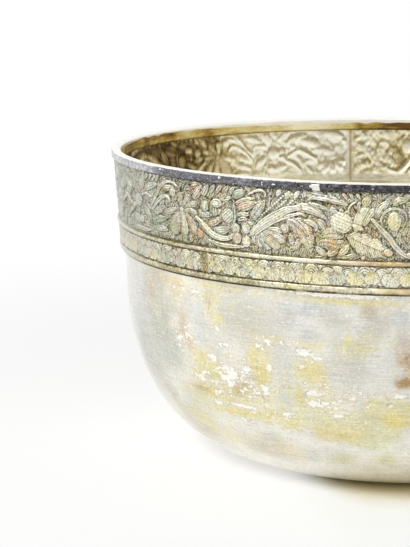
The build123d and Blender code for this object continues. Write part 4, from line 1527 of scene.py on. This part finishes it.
def rim_finish():
    """Dark strip scuffed to silver, bright lip, gilt inner leg with a painted reflection: each has its own
    share on the points.
    """
    f = Finish("rim_silver")
    clouds = f.noise((70.0, 70.0, 90.0), 4.0, 0.6)
    rubs = f.noise((150.0, 150.0, 900.0), 4.0, 0.68)
    scuffs = f.noise((700.0, 700.0, 900.0), 3.0, 0.65)
    pits = f.noise((1300.0, 1300.0, 1300.0), 2.0, 0.6)
    dark = f.attribute("dark")
    colour = f.mix(LIP_BRIGHT, LIP_CREAM, f.between(rubs, 0.5, 0.75) * 0.6)
    grade = f.attribute("tarnish") + (clouds - 0.5) * 0.5 + (rubs - 0.5) * 0.9 + (scuffs - 0.5) * 1.3
    tarnish = f.mix(f.ramp(grade, RIM_STOPS), RIM_PIT, f.between(pits, 0.56, 0.66) * f.attribute("tarnish"))
    colour = f.mix(colour, tarnish, f.between(dark + (scuffs - 0.5) * 0.8 + (rubs - 0.5) * 0.5, 0.35, 0.6))
    colour = f.mix(colour, FLAKE, f.between(scuffs + (rubs - 0.5) * 0.6, 0.645, 0.72) * 0.85)
    leg = f.ramp(f.attribute("gleam") + (clouds - 0.5) * 1.2 + (rubs - 0.5) * 0.7, LEG_STOPS)
    colour = f.mix(colour, leg, f.between(f.attribute("lining") + (rubs - 0.5) * 0.8, 0.3, 0.7))
    roughness = 0.34 + dark * 0.08 + (rubs - 0.5) * 0.2
    return f.metal(colour, roughness, 0.9, f.bump(rubs * 0.5 + scuffs * 0.5, 0.05))


rim_silver = rim_finish()

# %% Make the strip
RIM_SEAM = -14.7
RIM_SEAM_WIDTH = 2.4
RIM_SEAM_HALF = np.degrees(RIM_SEAM_WIDTH / 2.0 / rim_radius)
STRIP_POINTS = 44
STRIP_DENT = 0.05
strip_proud = node_shape("rim_strip")[0].max() - wall(strip_high)


def strip_section(low, high, proud):
    """Flat strip as a superellipse: |x|^6 + |y|^6 = 1, a rectangle with softened corners."""
    turn = np.linspace(-np.pi / 2.0, 1.5 * np.pi, 600)
    flat = np.sign(np.cos(turn)) * np.abs(np.cos(turn)) ** (1.0 / 3.0)
    tall = np.sign(np.sin(turn)) * np.abs(np.sin(turn)) ** (1.0 / 3.0)
    line = np.stack([proud / 2.0 * (1.0 + flat), (low + high) / 2.0 + (high - low) / 2.0 * tall], axis=-1)
    return evenly(line, STRIP_POINTS + 1)[:-1]


strip_line = strip_section(strip_low, strip_high, strip_proud)
strip_out, strip_up = strip_line[:, :1], strip_line[:, 1:]
strip_azimuth = np.linspace(RIM_SEAM + RIM_SEAM_HALF, RIM_SEAM + 360.0 - RIM_SEAM_HALF, RING_COLUMNS)
strip_share = np.clip(strip_out / strip_proud, 0.0, 1.0)
strip_dents = STRIP_DENT * ripple(strip_azimuth, strip_up, 41, 220, 2.0) * strip_share
TARNISH_AZIMUTHS = (-150.0, -100.0, -62.0, -52.0, -46.0, -38.0, -30.0, -14.0, 0.0, 40.0, 90.0, 150.0)
TARNISH_LEVELS = (0.6, 0.1, 0.22, 0.38, 0.72, 0.76, 0.7, 0.9, 0.96, 0.76, 0.34, 0.7)


def rim_tarnish(azimuth):
    """How far the rim has darkened round the mouth, pale on the left and dark at the front."""
    return np.interp(azimuth, TARNISH_AZIMUTHS, TARNISH_LEVELS, period=360.0)


make_ring(
    "rim_outer_strip", wall(strip_up) + strip_out + strip_dents, strip_azimuth, strip_up,
    "rim_strip", "rim_plate", rim_silver, False,
    dark=EVERYWHERE, tarnish=rim_tarnish(strip_azimuth)[None, :], lining=NOWHERE, gleam=NOWHERE,
)

# %% [markdown]
# ## Lip
# The lip is a half oval over the edges of strip and ring, with a leg that lines the inside below it. Both
# are one section, walked over the crown, down the leg and back under. Its top is worn a little uneven.

# %% Section of the lip
LIP_POINTS = 60
LEG_THICKNESS, LEG_ROUND = 1.2, 0.3
leg_face = -sheet - LEG_THICKNESS
lip_inner = wall(strip_high) + leg_face
lip_middle, lip_half = (rim_radius + lip_inner) / 2.0, (rim_radius - lip_inner) / 2.0
lip_turn = np.linspace(0.0, np.pi, 160)
crown_radius = lip_middle + lip_half * np.cos(lip_turn)
crown_height = strip_high + (lip_high - strip_high) * np.sin(lip_turn)
leg = [
    (wall(leg_low + LEG_ROUND, leg_face), leg_low + LEG_ROUND),
    (wall(leg_low, leg_face + LEG_ROUND), leg_low),
    (wall(leg_low, -sheet), leg_low),
    (wall(strip_high, -sheet), strip_high),
    (rim_radius, strip_high),
]
lip_line = np.concatenate([np.stack([crown_radius, crown_height], axis=-1), leg])
lip_line = evenly(lip_line, LIP_POINTS + 1)[:-1]
lip_side, lip_up = lip_line[:, :1], lip_line[:, 1:]
print(f"lip {2.0 * lip_half:.2f} mm wide, leg {strip_high - leg_low:.2f} mm deep")

# %% Make the lip
# Painted reflection on the gilt leg round the mouth, from brown to cream.
LEG_AZIMUTHS = (
    -180.0, -170.0, -164.0, -154.0, -145.0, -130.0, -112.0, -100.0, -90.0, -75.0, 0.0, 90.0, 150.0,
)
LEG_LEVELS = (0.3, 0.36, 0.8, 0.85, 0.6, 0.5, 0.42, 0.3, 0.55, 0.7, 0.5, 0.6, 0.5)
GILT_HEIGHT, GILT_RISE, GILT_RIPPLE = 2.3, 0.8, 0.16
LIP_WORN = 0.05
leg_gleam = np.interp(ring_azimuth, LEG_AZIMUTHS, LEG_LEVELS, period=360.0)[None, :]
gilt_top = leg_low + GILT_HEIGHT + GILT_RISE * near_azimuth(ring_azimuth, -114.0, 20.0)
gilt_top = gilt_top + GILT_RIPPLE * ripple(ring_azimuth, 0.0, 53, 90, 0.0)
on_slope = step(lip_side, lip_middle + 0.77 * lip_half, lip_middle + 0.98 * lip_half)
on_leg = (lip_side < lip_middle) * (1.0 - step(lip_up - gilt_top, 0.0, 0.7))
uneven = 0.06 * ripple(ring_azimuth, 0.0, 47, 12, 0.0) + 0.03 * ripple(ring_azimuth, 0.0, 49, 150, 0.0)
lip_heights = lip_up + uneven * step(lip_up, strip_high, lip_high) - LIP_WORN
make_ring(
    "rim_lip", lip_side + 0.0 * ring_azimuth, ring_azimuth, lip_heights, "lip_ring", "rim_plate", rim_silver,
    dark=on_slope, tarnish=rim_tarnish(ring_azimuth)[None, :], lining=on_leg, gleam=leg_gleam,
)

# %% [markdown]
# ## Soldered seams
# Three joints were filled with solder and filed off by hand. The fill is a short piece of the same
# section, a hair prouder than the sheet, and its two ends wander, because solder runs where it likes.

# %% Finish of the seams
SOLDER = shade(240, 238, 226)
SOLDER_DULL = shade(208, 208, 206)
SOLDER_TAN = shade(208, 196, 160)


def solder_finish():
    """Bright solder with a few dull pits."""
    f = Finish("seam_solder_fill")
    pits = f.noise((500.0, 500.0, 500.0), 4.0, 0.65)
    colour = f.mix(SOLDER, SOLDER_DULL, f.between(pits, 0.45, 0.7))
    colour = f.mix(colour, SOLDER_TAN, f.attribute("lining"))
    return f.metal(colour, 0.34 + (pits - 0.5) * 0.3, 0.8, f.bump(pits, 0.08))


seam_fill = solder_finish()

# %% Fill the three seams
RIM_LAP, SEAM_LAP = 0.06, 0.04
RIM_FILL, RING_FILL, RING_BACK_FILL, BORDER_FILL = 0.07, 0.12, 0.14, 0.16
RING_FILL_ROWS, BORDER_FILL_ROWS = 70, 30


def out_and_back(low, high, count):
    """Heights up the outside and down the inside again, and 1 on the rows of the inside."""
    rows = np.concatenate([np.linspace(low, high, count), np.linspace(high, low, count)])
    return rows[:, None], np.repeat([0.0, 1.0], count)[:, None]


def make_fill(name, node, outward, height, centre, half, ragged, seed, lining):
    """Section carried over a short arc whose two ends wander up the seam, capped at both ends."""
    span = np.linspace(-1.0, 1.0, 13)
    sides = ragged * ripple(height, 0.0, seed, 400, 0.0) * np.where(span < 0.0, 1.0, 0.35)
    azimuth = centre + half * span + sides * np.abs(span)
    radius = wall(height, outward) + 0.0 * azimuth
    make_ring(name, radius, azimuth, height, node, "seam_solder", seam_fill, False, lining=lining)


make_fill(
    "rim_seam_fill", "rim_strip_solder", strip_out + RIM_FILL * strip_share, strip_up,
    RIM_SEAM, RIM_SEAM_HALF + RIM_LAP, 0.3, 58, NOWHERE,
)
seam_up, seam_back = out_and_back(band_low, band_high, RING_FILL_ROWS)
make_fill(
    "ring_seam_fill", "floral_band_solder", RING_FILL - seam_back * (sheet + RING_BACK_FILL), seam_up,
    SEAM_AZIMUTH, SEAM_HALF + SEAM_LAP, 0.06, 53, seam_back,
)
joint_up, joint_back = out_and_back(border_low, border_high, BORDER_FILL_ROWS)
make_fill(
    "border_seam_fill", "leaf_border_solder", BORDER_FILL * (1.0 - joint_back), joint_up,
    BORDER_SEAM, SEAM_HALF + SEAM_LAP, 0.04, 57, EVERYWHERE,
)

# %% [markdown]
# ## Floor and light
# The photograph is a bright studio picture: white all round, with a soft shadow where the bowl meets the
# table, faint on the left and warm on the right. The warm tone is a painted shadow on the table near the
# bowl, and on the left the table's glow comes nearer as painted light. The floor is a white disc that turns
# to plain white away from the bowl, and the world is white to camera and reflections. One large soft lamp
# from the upper left gives the wall its shape, and a weak low one on the left lifts the edge.

# %% Floor
FLOOR_WHITE = shade(248, 249, 249)
# Colour of the warm painted shadow on the table near the bowl.
PAINTED_FLOOR_SHADOW = shade(224, 212, 170)
FLOOR_COLUMNS = 96
FLOOR_RADII = (400.0, 1200.0, 6000.0)
# From here leftwards the painted shadow narrows and the glow, painted light, comes nearer the bowl.
LEFT_FROM, LEFT_TO = -0.006, -0.04
PAINTED_SHADOW_FROM, PAINTED_SHADOW_TO = 0.055, 0.085
SHADOW_NEAR, SHADOW_MIDDLE, SHADOW_FAR = 0.075, 0.16, 0.4
floor_turn = np.arange(FLOOR_COLUMNS) * 360.0 / FLOOR_COLUMNS
floor_points = ring_points(np.array(FLOOR_RADII)[:, None], floor_turn, 0.0).reshape(-1, 3)
floor_column = np.arange(FLOOR_COLUMNS)
floor_fan = fan(len(floor_points), floor_column, (floor_column + 1) % FLOOR_COLUMNS)
floor_quads = skin(len(FLOOR_RADII), FLOOR_COLUMNS, False, True)[:, ::-1]
floor_faces = floor_fan.tolist() + floor_quads.tolist()
floor_mesh = bpy.data.meshes.new("studio_floor")
floor_mesh.from_pydata(np.vstack([floor_points, np.zeros((1, 3))]), [], floor_faces)
floor = bpy.data.objects.new("studio_floor", floor_mesh)
bpy.context.scene.collection.objects.link(floor)


def floor_finish():
    """White table that takes the shadow near the bowl, with a warm painted shadow close to it and a glow that
    reaches nearer on the left as painted light; plain white further off.
    """
    f = Finish("white_table")
    distance = f.node("ShaderNodeVectorMath", {"operation": "LENGTH"}, {0: f.place}, output="Value")
    across = f.node("ShaderNodeSeparateXYZ", None, {"Vector": f.place}, output="X")
    left = f.between(across, LEFT_FROM, LEFT_TO)
    # Warm painted shadow on the table near the bowl, narrower on the left.
    colour = f.mix(PAINTED_FLOOR_SHADOW, FLOOR_WHITE, f.between(distance + left * 0.03, PAINTED_SHADOW_FROM, PAINTED_SHADOW_TO))
    table = f.node("ShaderNodeBsdfDiffuse", None, {"Color": colour})
    glow = f.node("ShaderNodeEmission", None, {"Color": (1.0, 1.0, 1.0, 1.0), "Strength": 1.0})
    # The glow reaches nearer the bowl on the left: painted light that lifts the shadow there.
    near = f.between(distance + left * 0.08, SHADOW_NEAR, SHADOW_MIDDLE)
    share = near * 0.5 + f.between(distance, SHADOW_MIDDLE, SHADOW_FAR) * 0.5
    return f.ended(f.node("ShaderNodeMixShader", None, {0: share, 1: table, 2: glow}))


floor_mesh.materials.append(floor_finish())

# %% World and lamps
WORLD_LEVEL = 0.55
world = bpy.data.worlds.new("white_studio")
bpy.context.scene.world = world
world.use_nodes = True
world_nodes, world_links = world.node_tree.nodes, world.node_tree.links
background = world_nodes["Background"]
background.inputs["Color"].default_value = (1.0, 1.0, 1.0, 1.0)
paths = world_nodes.new("ShaderNodeLightPath")
strength = paths.outputs["Is Camera Ray"]
for ray in ("Is Glossy Ray", "Is Transmission Ray"):
    either = world_nodes.new("ShaderNodeMath")
    either.operation = "MAXIMUM"
    world_links.new(strength, either.inputs[0])
    world_links.new(paths.outputs[ray], either.inputs[1])
    strength = either.outputs[0]
least = world_nodes.new("ShaderNodeMath")
least.operation = "MAXIMUM"
least.inputs[1].default_value = WORLD_LEVEL
world_links.new(strength, least.inputs[0])
world_links.new(least.outputs[0], background.inputs["Strength"])
# Each lamp has its place, its size and its power.
LAMPS = {"soft_window": ((-0.75, -0.7, 1.0), 0.6, 10.0), "low_window": ((-1.0, -0.1, 0.26), 0.6, 1.6)}
for name, (place, size, watts) in LAMPS.items():
    lamp_data = bpy.data.lights.new(name, "AREA")
    lamp_data.shape = "DISK"
    lamp_data.size = size
    lamp_data.energy = watts
    lamp = bpy.data.objects.new(name, lamp_data)
    lamp.location = place
    x, y, z = place
    lamp.rotation_euler = (np.arctan2(np.hypot(x, y), z), 0.0, np.arctan2(x, -y))
    bpy.context.scene.collection.objects.link(lamp)
bpy.context.scene.view_settings.view_transform = "Standard"
print("lamps", ", ".join(LAMPS))
